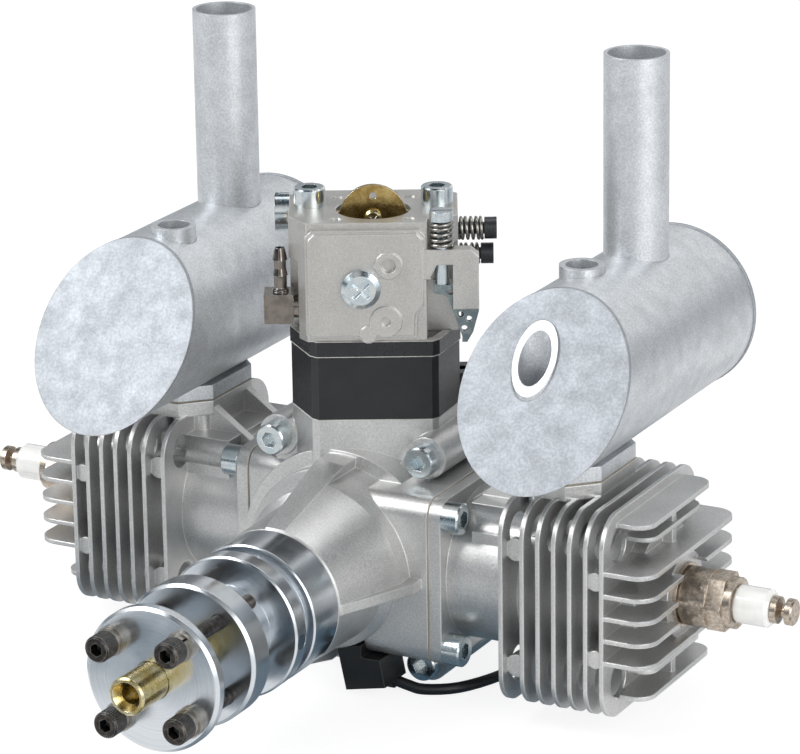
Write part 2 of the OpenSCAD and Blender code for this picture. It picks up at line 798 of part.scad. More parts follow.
module cylinder_casting() {
    last_x = head_x - fin_t;
    plug_clear_r = 10.5;
    head_fin_z = [for (i = [-2:2]) 1.3 + i * 6.1];
    difference() {
        union() {
            // Base flange, spigot and barrel
            translate([base_front, 0, 0])
                along_x() linear_extrude(flange_t) rrect(pad_y, pad_z, pad_round);
            disc_x(barrel_r - 0.2, base_front - spigot_in, base_front + 1);
            disc_x(barrel_r, base_front, head_x);
            // Upper shoulder of the barrel, behind the screw heads
            translate([base_top + head_h + 1, -17, 8])
                cube([first_fin_x - base_top - head_h, 34, 14.5]);
            cross_fin(first_fin_x, fin_depth / 2, fin_top, fin_bottom);
            for (i = [0:fin_count - 1])
                cross_fin(fin_start + i * fin_pitch, fin_depth / 2, fin_top, fin_bottom);
            // Round ties between the outer two fins and behind the first one
            for (s = [-1, 1], z = [-10.6, 10.6])
                translate([last_x - fin_pitch / 2 + fin_t / 2, s * (fin_depth / 2 - 6), z])
                    disc_y(fin_pitch / 2 + 0.2, s > 0 ? -6 : -5, s > 0 ? 5 : 6);
            for (s = [-1, 1], z = [-17, 15])
                translate([(first_fin_x + fin_start + fin_t) / 2, s * (fin_depth / 2 - 6), z])
                    disc_y((fin_start - first_fin_x) / 2, s > 0 ? -7 : -3, s > 0 ? 3 : 7);
            // Exhaust duct and its flange
            translate([port_x, 0, 10]) linear_extrude(ex_flange_top - 11) rrect(20, 25, 4);
            translate([muffler_x, 0, ex_flange_top - ex_flange_t])
                linear_extrude(ex_flange_t) ex_outline();
            ex_gussets();
            // Head dome, plug boss and head fins
            disc_x(barrel_r - 2, head_x - 1, head_x + 4);
            disc_x(11.5, head_x, head_x + 10);
            difference() {
                union() {
                    for (z = head_fin_z)
                        head_fin(z, fin_depth / 2 - 0.2, last_x, head_x + head_reach - 1.2, 6);
                    head_fin(24.2, 21, last_x, head_x + 9, 5);
                    head_fin(-22.6, 21, last_x, head_x + 9, 5);
                    head_fin(19.4, 16.5, last_x + 1, head_x + 8, 4);
                    head_fin(-16.8, 16.5, last_x + 1, head_x + 8, 4);
                    // Upright wall that ties the flat fins together
                    translate([last_x, -1.2, -22.6]) cube([8, 2.4, 46.8]);
                }
                disc_x(plug_clear_r, head_x + 10, head_x + 30);
            }
        }
        disc_x(bore_r, 0, crown_x + 0.4);
        // Combustion chamber
        translate([crown_x + 0.3, 0, 0]) rotate([0, 90, 0])
            cylinder(r1 = bore_r - 4, r2 = 7.5, h = 6);
        disc_x(7.1, crown_x, head_x + 12);
        // Exhaust window in the bore, leading up to the round port
        translate([window_x0, -window_w / 2, 10]) cube([window_x1 - window_x0, window_w, 13]);
        translate([port_x, 0, barrel_r + 1.2]) cylinder(r = port_r, h = ex_flange_top);
        for (j = [-1, 1])
            translate([ex_bolt_x, j * flange_bolt_pitch / 2, ex_flange_top - 9])
                cylinder(r = ex_bolt_r + screw_gap / 2, h = 10);
        // Screw holes in the base flange, and the key holes through the fins
        base_bolt_holes(screw_r + screw_gap, base_front - 1, base_top + 1);
        base_bolt_holes(head_r + 0.4, base_top, head_x + 1);
    }
}

// Two cast gussets that carry the exhaust flange from the barrel side
module ex_gussets() {
    for (y = [-9, 9])
        translate([0, y + 1.2, 0]) rotate([90, 0, 0])
            linear_extrude(2.4)
                polygon([[38, 14], [53, 14], [53, ex_flange_top - 1], [50.5, ex_flange_top - 1], [38, 21]]);
}

module cylinder_right() { color("#a19e99") at_crank() bank(1) cylinder_casting(); }
module cylinder_left() { color("#a19e99") at_crank() bank(-1) cylinder_casting(); }

module cylinder_bolts() {
    color("#b9c2cc") at_crank() both_banks() {
        for (i = [-1, 1], j = [-1, 1])
            translate([base_top, i * base_bolt_y, j * base_bolt_z])
                rotate([0, 90, 0]) cap_screw(screw_d, flange_t + gasket_t + 12);
        for (j = [-1, 1])
            translate([ex_bolt_x, j * flange_bolt_pitch / 2, mflange_top])
                cap_screw(2 * ex_bolt_r, 4 + gasket_t + 8);
    }
}

// Spark plugs

plug_seat = head_x + 10;
hex_x0 = plug_seat + 8;
hex_x1 = hex_x0 + 5;

module plug_shells() {
    color("#8d8178") at_crank() both_banks() difference() {
        union() {
            disc_x(7, crown_x + 3, plug_seat + 1);
            disc_x(8.6, plug_seat, plug_seat + 1);
            disc_x(7.8, plug_seat + 1.6, hex_x0 + 0.5);
            disc_x(7, plug_seat, plug_seat + 3);
            translate([hex_x0, 0, 0]) rotate([0, 90, 0]) rotate([0, 0, 30])
                cylinder(d = plug_hex / cos(30), h = hex_x1 - hex_x0, $fn = 6);
            disc_x(6.8, hex_x1 - eps, hex_x1 + 2.2);
        }
        disc_x(4.65, crown_x + 5, hex_x1 + 5);
        disc_x(3, crown_x, hex_x1);
    }
}

module plug_ceramics() {
    color("#f4f4f2") at_crank() both_banks() difference() {
        turned_x([
            [crown_x + 2, 2.2], [crown_x + 5.2, 2.9], [crown_x + 5.2, 4.6], [hex_x1 + 2.65, 4.6],
            [hex_x1 + 2.65, 5.05], [plug_tip - 7, 5.05],
            [plug_tip - 6.1, 4.2], [plug_tip - 6.1, 0], [crown_x + 2, 0]
        ]);
        disc_x(1.25, plug_tip - 10, plug_tip);
    }
}

// Turns a profile of [x, radius] points around the cylinder axis
module turned_x(points) {
    rotate([0, 90, 0]) rotate_extrude() polygon([for (p = points) [p[1], p[0]]]);
}

module plug_terminals() {
    color("#8d8178") at_crank() both_banks() turned_x([
        [plug_tip - 9.5, 0], [plug_tip - 9.5, 1.2], [plug_tip - 6, 1.2], [plug_tip - 6, 3.6],
        [plug_tip - 4.3, 3.6], [plug_tip - 3.4, 1.5], [plug_tip - 2.6, 1.5], [plug_tip - 2, 3.5],
        [plug_tip - 0.4, 3.5], [plug_tip, 3.1], [plug_tip, 0]
    ]);
}

// Mufflers

// The front face slopes, its top further back than its foot
face_slope = 34.6;
face_t = 1.2;
face_y = [-30.8, -24.6];

function can_front(s) = s > 0 ? face_y[1] : face_y[0];
function can_end(s) = s > 0 ? can_rear : can_rear - 1;

// Everything in front of the sloped plane, moved forward by d
module before_face(s, d) {
    translate([s * muffler_x, can_front(s), muffler_z]) rotate([-face_slope, 0, 0])
        translate([-50, -120 - d, -60]) cube([100, 120, 120]);
}

module can_holes(s, gap) {
    for (y = tube_spots(s))
        translate([s * ex_bolt_x, y, ex_flange_top]) cylinder(r = 6 + gap, h = 70);
}

// The left can's rear flange bolt is reached through its stub, so it has one tube
function tube_spots(s) = s > 0
    ? [-bank_offset - flange_bolt_pitch / 2, -bank_offset + flange_bolt_pitch / 2]
    : [bank_offset - flange_bolt_pitch / 2];

module muffler_can(s) {
    difference() {
        translate([s * muffler_x, 0, muffler_z]) disc_y(can_r, can_front(s) - 30, can_end(s));
        translate([s * muffler_x, 0, muffler_z])
            disc_y(can_r - can_t, can_front(s) - 31, can_end(s) + 1);
        before_face(s, 0);
        // Foot on the flange, stub hole and tube holes
        translate([s * muffler_x, -s * bank_offset, 0]) linear_extrude(mflange_top) ex_outline();
        translate([s * muffler_x, stub_y, muffler_z]) cylinder(d = stub_d + 0.1, h = 40);
        can_holes(s, 0.05);
        // Room for the heads of the flange bolts
        for (j = [-1, 1])
            translate([s * ex_bolt_x, -s * bank_offset + j * flange_bolt_pitch / 2, mflange_top - 1])
                cylinder(r = 2 * ex_bolt_r, h = 6);
    }
}

module muffler_can_right() { color("#c5c9ce") at_crank() muffler_can(1); }
module muffler_can_left() { color("#c5c9ce") at_crank() muffler_can(-1); }

module muffler_end_plates() {
    color("#c9cdd2") at_crank() for (s = [-1, 1]) {
        difference() {
            translate([s * muffler_x, 0, muffler_z]) disc_y(can_r + 0.3, -60, 0);
            before_face(s, face_t);
            // Keep only the slab in front of the sloped end
            translate([s * muffler_x, can_front(s), muffler_z]) rotate([-face_slope, 0, 0])
                translate([-50, 0, -60]) cube([100, 120, 120]);
            can_holes(s, 0.05);
        }
        translate([s * muffler_x, 0, muffler_z]) disc_y(can_r + 0.3, can_end(s), can_end(s) + face_t);
    }
}

module muffler_flanges() {
    color("#b9bcc0") at_crank() for (s = [-1, 1])
        translate([s * muffler_x, -s * bank_offset, 0]) difference() {
            translate([0, 0, ex_flange_top + gasket_t])
                linear_extrude(mflange_top - ex_flange_top - gasket_t) ex_outline();
            exhaust_holes(s, ex_flange_top, mflange_top + 1);
        }
}

// Outlet stubs, and the tubes that a key goes through to reach the flange bolts
module muffler_tubes() {
    tube_top = muffler_z + can_r + 2;
    color("#c2c7cd") at_crank() for (s = [-1, 1]) {
        translate([s * muffler_x, stub_y, muffler_z]) difference() {
            translate([0, 0, can_r - 4]) cylinder(d = stub_d, h = stub_top - muffler_z - can_r + 4);
            cylinder(d = stub_d - 2 * stub_t, h = stub_top);
        }
        difference() {
            for (y = tube_spots(s))
                translate([s * ex_bolt_x, y, mflange_top + eps])
                    cylinder(r = 6, h = tube_top - mflange_top);
            for (y = tube_spots(s))
                translate([s * ex_bolt_x, y, mflange_top - 1]) cylinder(r = 4.3, h = 70);
            before_face(s, face_t + 0.6);
        }
    }
}

// Intake and carburettor

module insulator_block() {
    color("#26282b") at_crank() carb_frame() difference() {
        union() {
            translate([0, 0, neck_top]) linear_extrude(block_h) neck_outline();
            translate([16, 2, neck_top]) cube([10, 10, 6.5]);
        }
        translate([0, -bore_fwd, neck_top - 1]) cylinder(r = throttle_bore_r, h = block_h + 2);
        translate([-12, -9, neck_top - 1]) cube([24, 18, 5]);
        carb_screw_spots()
            translate([0, 0, neck_top - 1]) cylinder(r = screw_r + screw_gap, h = block_h + 2);
        translate([23, 7, neck_top - 1]) cylinder(r = 1.6, h = 9);
    }
}

module insulator_plate() {
    color("#303338") at_crank() carb_frame() difference() {
        translate([0, 0, block_top]) linear_extrude(plate_h) neck_outline(0.3);
        translate([0, -bore_fwd, block_top - 1]) cylinder(r = throttle_bore_r, h = plate_h + 2);
        carb_screw_spots()
            translate([0, 0, block_top - 1]) cylinder(r = screw_r + screw_gap, h = plate_h + 2);
    }
}

// Reed valve: a wedge with two windows on each slope, hung in the intake passage
module reed_block() {
    top = neck_top + 3.9;
    tip = 27.5;
    color("#3a3d42") at_crank() carb_frame() difference() {
        union() {
            translate([-11.8, 0, 0]) rotate([90, 0, 90])
                linear_extrude(23.6) polygon([[-8, neck_top], [8, neck_top], [1.2, tip], [-1.2, tip]]);
            translate([-11.9, -8.9, neck_top]) cube([23.8, 17.8, top - neck_top]);
        }
        for (x = [-10.3, 0.9])
            translate([x, 0, 0]) rotate([90, 0, 90])
                linear_extrude(9.4) polygon([
                    [-6.8, top + 1], [6.8, top + 1], [6.6, neck_top], [2.2, tip + 3.2],
                    [-2.2, tip + 3.2], [-6.6, neck_top]
                ]);
        for (x = [-8.8, 2.4])
            translate([x, -10, tip + 3.4]) cube([6.4, 20, 4.5]);
    }
}

module carb_outline() {
    w = carb_w / 2;
    polygon([
        [-17.5, -body_front], [17.5, -body_front], [w, -9.5], [w, body_back - 4],
        [w - 4, body_back], [-w + 4, body_back], [-w, body_back - 4], [-w, -9.5]
    ]);
}

module carb_body() {
    color("#a8a49e") at_crank() carb_frame() difference() {
        translate([0, 0, carb_z]) linear_extrude(carb_h) carb_outline();
        // Air bore, venturi and throttle bore
        translate([0, -bore_fwd, carb_top - 14]) cylinder(r = air_bore_r, h = 15);
        translate([0, -bore_fwd, carb_z + 12]) cylinder(r = throttle_bore_r - 1.7, h = carb_h);
        translate([0, -bore_fwd, carb_z - 1]) cylinder(r = throttle_bore_r, h = 14);
        carb_screw_spots()
            translate([0, 0, carb_z - 1]) cylinder(r = screw_r + screw_gap, h = carb_h + 2);
        // Shaft bores and the threads of the two needles
        translate([0, -bore_fwd, choke_z]) disc_x(choke_r + shaft_gap, -carb_w / 2 - 1, 14.5);
        translate([0, -bore_fwd, throttle_z]) disc_x(throttle_r + shaft_gap, -14.5, carb_w / 2 + 1);
        for (z = [needle_hi_z, needle_lo_z])
            translate([0, -needle_fwd, z]) disc_x(needle_r + shaft_gap, 11, carb_w / 2 + 1);
        // Recess for the throttle lever, below the cover's arm
        translate([13.9, -body_front - 1, carb_z - 1]) cube([10, body_front - 7, arm_top - carb_z + 1]);
        // Corner beside the idle screw
        translate([14.2, -body_front - 1, carb_z - 1]) cube([10, 4.6, carb_h + 2]);
        // Step on the left side, where the fuel elbow screws in
        translate([-side_x - 3.2, -body_front - 1, carb_z - 1]) cube([3.2, body_front - 1, 22]);
        translate([-side_x, -elbow_fwd, elbow_z]) disc_x(2.1, -3.2, 3.8);
        translate([0, 8.7, carb_top - 3.8]) disc_x(1.9, -carb_w / 2 - 1, -14);
        // Seats of the cover screws
        translate([-3.3, -body_front - 1, carb_z + 15.2]) rotate([-90, 0, 0]) cylinder(r = 1.6, h = 3.4);
        for (x = [-13, 13], z = [6, 26])
            translate([x, body_back - 5, carb_z + z]) rotate([-90, 0, 0]) cylinder(r = 1.3, h = 6);
        // Dimples around the air bore
        for (x = [-9.6, 9.6], y = [-13.6, 7.8])
            translate([x, y, carb_top - 0.5]) cylinder(r = 1.6, h = 1);
    }
}

cover_t2 = 2.3;
cover_x0 = -17.8;
cover_x1 = 13.8;

module pump_cover() {
    arm_bar = 4.1;
    color("#a6a29c") at_crank() carb_frame() difference() {
        union() {
            // Cover plate with a bevelled rim
            translate([0, -body_front, 0]) rotate([90, 0, 0]) {
                linear_extrude(cover_t2 - 0.8) cover_outline(0);
                linear_extrude(cover_t2) cover_outline(0.8);
            }
            // Raised bosses on the plate
            for (p = [[4, 21.3, 3.6], [3.2, 6.1, 4.2], [-1.5, 2.6, 2.3]])
                translate([p[0], -body_front, carb_z + p[1]]) rotate([90, 0, 0])
                    cylinder(r = p[2], h = cover_t2 + 0.5);
            // Arm that carries the idle screw, with its right leg
            translate([0, -15.3, 0]) rotate([90, 0, 0]) linear_extrude(4) polygon([
                [14.3, arm_top], [25.6, arm_top], [27.6, arm_top - 1.8], [27.6, carb_z + 9.2],
                [20.8, carb_z + 9.2], [20.8, arm_top - arm_bar], [16.6, arm_top - arm_bar],
                [15.2, arm_top - arm_bar - 3], [14.3, arm_top - arm_bar - 3]
            ]);
            translate([6, -body_front - 2.1, arm_top - 8]) cube([9, 2.1, 8]);
        }
        translate([4, -body_front - 1.4, carb_z + 21.3]) rotate([90, 0, 0]) cylinder(r = 1.9, h = 5);
        translate([3.2, -body_front - 2, carb_z + 6.1]) rotate([90, 0, 0]) cylinder(r = 1.2, h = 5);
        translate([-3.3, -body_front + 1, carb_z + 15.2]) rotate([90, 0, 0]) cylinder(r = 1.6, h = 5);
        translate([idle_x, -idle_fwd, arm_top - arm_bar - 1]) cylinder(r = idle_r + shaft_gap, h = 8);
    }
}

// Outline of the pump cover in x and z, with its lower right corner cut away
module cover_outline(inset) {
    i = inset;
    polygon([
        [cover_x0 + 1 + i, carb_z + 1.4 + i], [cover_x1 - 2.4 - i, carb_z + 1.4 + i],
        [cover_x1 - 2.4 - i, carb_z + 7.5], [cover_x1 - i, carb_z + 11], [cover_x1 - i, carb_z + 29 - i],
        [cover_x1 - 1.6 - i, carb_z + 30.6 - i], [cover_x0 + 1.6 + i, carb_z + 30.6 - i],
        [cover_x0 + i, carb_z + 29 - i], [cover_x0 + i, carb_z + 2.4 + i]
    ]);
}

module metering_cover() {
    color("#9c9893") at_crank() carb_frame() difference() {
        translate([0, body_back, carb_z + 16]) rotate([-90, 0, 0]) {
            linear_extrude(3) rrect(33, 27, 4);
            cylinder(r = 9, h = 4.2);
        }
        for (x = [-13, 13], z = [6, 26])
            translate([x, body_back - 1, carb_z + z]) rotate([-90, 0, 0]) cylinder(r = 1.3, h = 6);
        translate([0, body_back - 1, carb_z + 16]) rotate([-90, 0, 0]) cylinder(r = 1.1, h = 6);
    }
}

module carb_screws() {
    color("#b4c0cc") at_crank() carb_frame() carb_screw_spots()
        translate([0, 0, carb_top]) cap_screw(screw_d, carb_top - neck_top + 11);
}

module cover_screws() {
    color("#b4c0cc") at_crank() carb_frame() {
        translate([-3.3, -body_front - cover_t2, carb_z + 15.2]) rotate([90, 0, 0])
            pan_screw(5.2, 2.2, 1.5, 4.5);
        for (x = [-13, 13], z = [6, 26])
            translate([x, body_back + 3, carb_z + z]) rotate([-90, 0, 0]) pan_screw(2.4, 1.5, 1.2, 7);
        // Large plug screw on the left side
        translate([-carb_w / 2, 8.7, carb_top - 3.8]) rotate([0, -90, 0]) difference() {
            union() {
                cylinder(r = 5.1, h = 4);
                translate([0, 0, -7]) cylinder(r = 1.8, h = 7 + eps);
            }
            translate([-6, -0.6, 2.8]) cube([12, 1.2, 3]);
        }
    }
}

// A butterfly in its own frame: a disc on the shaft's flat, standing upright
module butterfly(r, flat) {
    difference() {
        translate([0, flat, 0]) rotate([90, 0, 0]) cylinder(r = r, h = butterfly_t);
        translate([0, flat + 1, 0]) rotate([90, 0, 0]) cylinder(r = 1.2, h = 4);
        children();
    }
}

module choke_shaft() {
    color("#c8b060") at_crank() carb_frame() translate([0, -bore_fwd, choke_z]) difference() {
        union() {
            difference() {
                disc_x(choke_r, -carb_w / 2 - 0.5, 14.3);
                translate([-9.3, -choke_r - 1, -3]) cube([18.6, choke_r + 0.5, 6]);
            }
            rotate([90, 0, 0]) translate([0, 0, -0.5]) cylinder(r = 1.15, h = 2.3);
            translate([0, -0.5 - butterfly_t, 0]) rotate([90, 0, 0]) pan_screw(2.3, 1.3, 1, 1.3);
        }
    }
}

module choke_plate() {
    color("#b0913a") at_crank() carb_frame() translate([0, -bore_fwd, choke_z])
        butterfly(8.9, -0.5) {
            translate([0, 2, 5.9]) rotate([90, 0, 0]) cylinder(r = 0.9, h = 5);
        }
}

throttle_tilt = 12;

module throttle_shaft() {
    color("#a9adb2") at_crank() carb_frame() translate([0, -bore_fwd, throttle_z])
        rotate([90 + throttle_tilt, 0, 0]) {
            difference() {
                disc_x(throttle_r, -14.3, carb_w / 2 + 3.2);
                translate([-9.2, -throttle_r - 1, -3]) cube([18.4, throttle_r + 0.5, 6]);
            }
            translate([0, -0.5, 0]) rotate([90, 0, 0]) translate([0, 0, -0.5]) cylinder(r = 1.15, h = 1.6);
            translate([0, -0.5 - butterfly_t, 0]) rotate([90, 0, 0]) pan_screw(2.2, 1.2, 1, 1.2);
        }
}

module throttle_plate() {
    color("#b0913a") at_crank() carb_frame() translate([0, -bore_fwd, throttle_z])
        rotate([90 + throttle_tilt, 0, 0]) butterfly(throttle_bore_r - 0.15, -0.5);
}

// Lever: a hub plate outside the body, a neck forward and a face plate with link holes
module throttle_lever() {
    hub_x = carb_w / 2 + 0.6;
    face_fwd = 12;
    face_plate_t = 1.5;
    link_holes = [[23.7, 2.2], [22.8, 6], [21.4, 9.6], [24.9, 4.8], [20.2, 12.2]];
    color("#93a3a6") at_crank() carb_frame() difference() {
        union() {
            translate([hub_x, 0, 0]) rotate([90, 0, 90]) linear_extrude(1.5) {
                translate([-bore_fwd, throttle_z]) circle(r = 4);
                polygon([
                    [-bore_fwd, throttle_z - 4], [-bore_fwd, throttle_z + 4],
                    [-face_fwd - face_plate_t, carb_z + 11], [-face_fwd - face_plate_t, carb_z + 3]
                ]);
            }
            translate([0, -face_fwd, 0]) rotate([90, 0, 0]) linear_extrude(face_plate_t) polygon([
                [15.6, carb_z + 15.6], [20, carb_z + 15.6], [20.9, carb_z + 13.2], [26.8, carb_z + 11],
                [27.6, carb_z + 7], [26, carb_z + 1.2], [24.4, carb_z - 1.6], [23.1, carb_z - 1.6],
                [23.1, carb_z], [22.2, carb_z + 2.6], [21.4, carb_z + 5], [20.2, carb_z + 8.3],
                [19.5, carb_z + 10.6], [18.2, carb_z + 11.4], [15.6, carb_z + 12]
            ]);
            // Stop tab under the idle screw
            translate([17.4, -idle_fwd - 1.4, carb_z + 14.2])
                cube([2.6, idle_fwd + 1.4 - face_fwd, 1.4]);
        }
        translate([0, -bore_fwd, throttle_z]) disc_x(throttle_r + 0.02, hub_x - 1, hub_x + 3);
        for (p = link_holes)
            translate([p[0], -face_fwd + 1, carb_z + p[1]]) rotate([90, 0, 0]) cylinder(r = 0.8, h = 4);
    }
}

module idle_screw() {
    color("#b4c0cc") at_crank() carb_frame() translate([idle_x, -idle_fwd, 0]) difference() {
        union() {
            translate([0, 0, carb_z + 15.8]) cylinder(r = idle_r, h = arm_top - carb_z - 6);
            translate([0, 0, arm_top - 1]) cylinder(r = idle_r, h = 9);
            translate([0, 0, arm_top + 7.6]) cylinder(r = 3.1, h = 2.6);
        }
        translate([-4, -0.4, arm_top + 9.4]) cube([8, 0.8, 2]);
    }
}

// Needle with a cylindrical black head, pointing along +X
module needle(z, head_x0, head_len, r) {
    translate([0, -needle_fwd, z]) difference() {
        union() {
            disc_x(needle_r, 14, head_x0 + 1);
            translate([11.4, 0, 0]) rotate([0, 90, 0]) cylinder(r1 = 0.3, r2 = needle_r, h = 2.7);
            disc_x(r, head_x0, head_x0 + head_len);
        }
        translate([head_x0 + head_len - 1, -0.4, -4]) cube([2, 0.8, 8]);
    }
}

module needle_high() {
    color("#303236") at_crank() carb_frame() needle(needle_hi_z, needle_top, 3.3, 2.95);
}

module needle_low() {
    color("#303236") at_crank() carb_frame() needle(needle_lo_z, needle_top - 1, 3.4, 2.8);
}

// Wire turns of an adjuster spring, stacked along +Z
module spring_turns(r, wire, n, h) {
    for (i = [0:n - 1])
        translate([0, 0, wire + i * (h - 2 * wire) / (n - 1)])
            rotate_extrude() translate([r, 0]) circle(r = wire, $fn = 24);
}

module adjuster_springs() {
    color("#b9bdc2") at_crank() carb_frame() {
        translate([idle_x, -idle_fwd, arm_top]) spring_turns(2.7, 0.5, 5, 7.5);
        translate([carb_w / 2, -needle_fwd, needle_hi_z]) rotate([0, 90, 0])
            spring_turns(2.6, 0.45, 5, needle_top - carb_w / 2);
        translate([carb_w / 2, -needle_fwd, needle_lo_z]) rotate([0, 90, 0])
            spring_turns(2.4, 0.45, 4, needle_top - 1 - carb_w / 2);
    }
}

module fuel_elbow() {
    color("#8d8377") at_crank() carb_frame() difference() {
        union() {
            translate([-side_x - 9.3, -elbow_fwd - 4, elbow_z - 4]) cube([7.8, 8, 8]);
            translate([-side_x, -elbow_fwd, elbow_z]) disc_x(2.05, -1.7, 2.8);
            translate([-side_x, -elbow_fwd, elbow_z]) disc_x(3.2, -1.6, 0);
            translate([-side_x - 4.9, -elbow_fwd, elbow_z + 4 - eps]) rotate_extrude() polygon([
                [0, 0], [2.2, 0], [2.2, 0.6], [1.7, 1], [1.7, 4.2], [2, 4.5], [1.6, 6.4], [1.6, 8.4],
                [2, 8.7], [1.5, 11.2], [1.3, 12], [0, 12]
            ]);
        }
        translate([-side_x - 4.9, -elbow_fwd, elbow_z]) cylinder(r = 0.9, h = 20);
        translate([-side_x, -elbow_fwd, elbow_z]) disc_x(0.9, -4.9, 3.8);
    }
}

// Ignition sensor and its lead

module sensor_body() {
    color("#202224") at_crank() difference() {
        union() {
            translate([13.1, -33, -31.7]) rotate([0, -12, 0])
                translate([-sensor_w / 2, 0, 0]) cube([sensor_w, 12, 12]);
            // Gland of the lead, low on the right
            translate([0, -25, -31.3]) disc_x(2.1, 9, 17.8);
        }
        // Seats under the bearing housing and the right pad
        nose(0.02);
        translate([11.9, -34, -pad_z / 2 - 0.02]) cube([20, 20, 20]);
        translate([0, -25, -31.3]) disc_x(lead_d / 2, 14.9, 19);
    }
}

// Unit vector of a route segment, and the mean direction at each of its points
function unit(v) = v / norm(v);
function heading(p, i) = i == 0 ? unit(p[1] - p[0])
    : i == len(p) - 1 ? unit(p[i] - p[i - 1])
    : unit(unit(p[i] - p[i - 1]) + unit(p[i + 1] - p[i]));
// Points of a smooth curve through the route, n steps on each stretch
function spline_at(p, i, t) =
    let (a = p[max(i - 1, 0)], b = p[i], c = p[i + 1], d = p[min(i + 2, len(p) - 1)])
    0.5 * (2 * b + (c - a) * t + (2 * a - 5 * b + 4 * c - d) * t * t
        + (3 * b - a - 3 * c + d) * t * t * t);
function smooth(p, n) = [
    for (i = [0:len(p) - 2], k = [0:n - 1]) spline_at(p, i, k / n), p[len(p) - 1]
];

// Tube with a ring of sides around each point of a route
module tube(p, r, sides = 8) {
    rings = [for (i = [0:len(p) - 1])
        let (t = heading(p, i), u = unit(cross(t, [0, 0, 1])), v = cross(u, t))
        for (k = [0:sides - 1])
            p[i] + r * (cos(360 * k / sides) * u + sin(360 * k / sides) * v)];
    last = (len(p) - 1) * sides;
    polyhedron(rings, concat(
        [[for (k = [0:sides - 1]) k]],
        [[for (k = [sides - 1:-1:0]) last + k]],
        [for (i = [0:len(p) - 2], k = [0:sides - 1])
            let (a = i * sides + k, b = i * sides + (k + 1) % sides)
            [a, a + sides, b + sides, b]]
    ));
}

module sensor_lead() {
    color("#1c1d1f") at_crank() tube(smooth(LEAD, 3), lead_d / 2 - 0.02);
}

module lead_coil() {
    color("#1c1d1f") at_crank() translate([coil_x, coil_y, floor_z]) rotate_extrude()
        translate([coil_turn_r, lead_d]) rrect(lead_d, 2 * lead_d, lead_d / 2 - 0.05);
}

// Three-way plug at the free end, with its three contact slots
module lead_plug() {
    x1 = coil_x - coil_turn_r - lead_d / 2;
    color("#1c1d1f") at_crank() difference() {
        translate([x1 - 14.4, coil_y - 4, floor_z]) cube([14.4, 8, 5]);
        for (i = [-1:1])
            translate([x1 - 15.4, coil_y + 2.54 * i - 0.6, floor_z + 1.9]) cube([9, 1.2, 1.2]);
    }
}

crankcase();
rear_cover();
case_bolts();
gaskets();
crankshaft_front();
crank_mid_web();
crankshaft_rear();
bearing_outer_rings();
bearing_balls();
bearing_inner_rings();
shaft_seal();
crank_pin_right();
crank_pin_left();
con_rod_right();
con_rod_left();
piston_right();
piston_left();
wrist_pin_right();
wrist_pin_left();
piston_rings_right();
piston_rings_left();
drive_hub();
hub_magnet();
prop_stud();
prop_washer();
prop_bolts();
prop_bolt_washers();
cylinder_right();
cylinder_left();
cylinder_bolts();
plug_shells();
plug_ceramics();
plug_terminals();
muffler_can_right();
muffler_can_left();
muffler_end_plates();
muffler_flanges();
muffler_tubes();
insulator_block();
insulator_plate();
reed_block();
carb_body();
pump_cover();
metering_cover();
carb_screws();
cover_screws();
choke_shaft();
choke_plate();
throttle_shaft();
throttle_plate();
throttle_lever();
idle_screw();
needle_high();
needle_low();
adjuster_springs();
fuel_elbow();
sensor_body();
sensor_lead();
lead_coil();
lead_plug();
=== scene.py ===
import math

import bmesh
import bpy
from bpy.props import FloatProperty, FloatVectorProperty, IntProperty, PointerProperty
from mathutils import Matrix, Vector


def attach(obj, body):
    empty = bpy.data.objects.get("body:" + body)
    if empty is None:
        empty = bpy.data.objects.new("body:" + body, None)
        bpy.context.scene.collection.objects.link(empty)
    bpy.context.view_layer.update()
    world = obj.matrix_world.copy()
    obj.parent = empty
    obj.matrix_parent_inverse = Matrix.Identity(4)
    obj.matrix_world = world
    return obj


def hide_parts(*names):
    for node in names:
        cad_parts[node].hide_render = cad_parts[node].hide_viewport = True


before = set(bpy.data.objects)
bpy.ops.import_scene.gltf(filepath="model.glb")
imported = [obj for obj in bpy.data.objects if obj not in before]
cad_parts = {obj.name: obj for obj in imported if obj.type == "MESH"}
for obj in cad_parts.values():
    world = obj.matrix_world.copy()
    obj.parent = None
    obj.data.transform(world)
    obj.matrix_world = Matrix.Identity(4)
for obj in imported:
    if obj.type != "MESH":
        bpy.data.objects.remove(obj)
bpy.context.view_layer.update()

bl_info = {
    "name": "Flat twin engine",
    "version": (1, 0, 0),
    "blender": (4, 5, 0),
    "location": "View3D > Sidebar > Engine",
    "description": "Finishes, springs, screws and the ignition lead of a flat twin model engine",
    "category": "Object",
}

MM = 0.001
# The crank centre in the part's frame, whose origin is the firewall face
CRANK = Vector((0.0, -44.0, 0.0))
# The carburettor's turned frame: x along its shafts, -y to its front
CARB_TURN = math.radians(27.5)


def hex_color(code):
    """An sRGB hex value as a linear colour with alpha."""
    channels = [int(code[i : i + 2], 16) / 255 for i in (1, 3, 5)]
    return tuple(c / 12.92 if c <= 0.04045 else ((c + 0.055) / 1.055) ** 2.4 for c in channels) + (1.0,)


def crank_point(x, y, z):
    """A point given in millimetres around the crank centre, in the part's frame in metres."""
    return (Vector((x, y, z)) + CRANK) * MM


def crank_frame():
    return Matrix.Translation(CRANK * MM) @ Matrix.Scale(MM, 4)


def carb_frame():
    return crank_frame() @ Matrix.Rotation(CARB_TURN, 4, "Z")


# Sizes and colours that a user would change


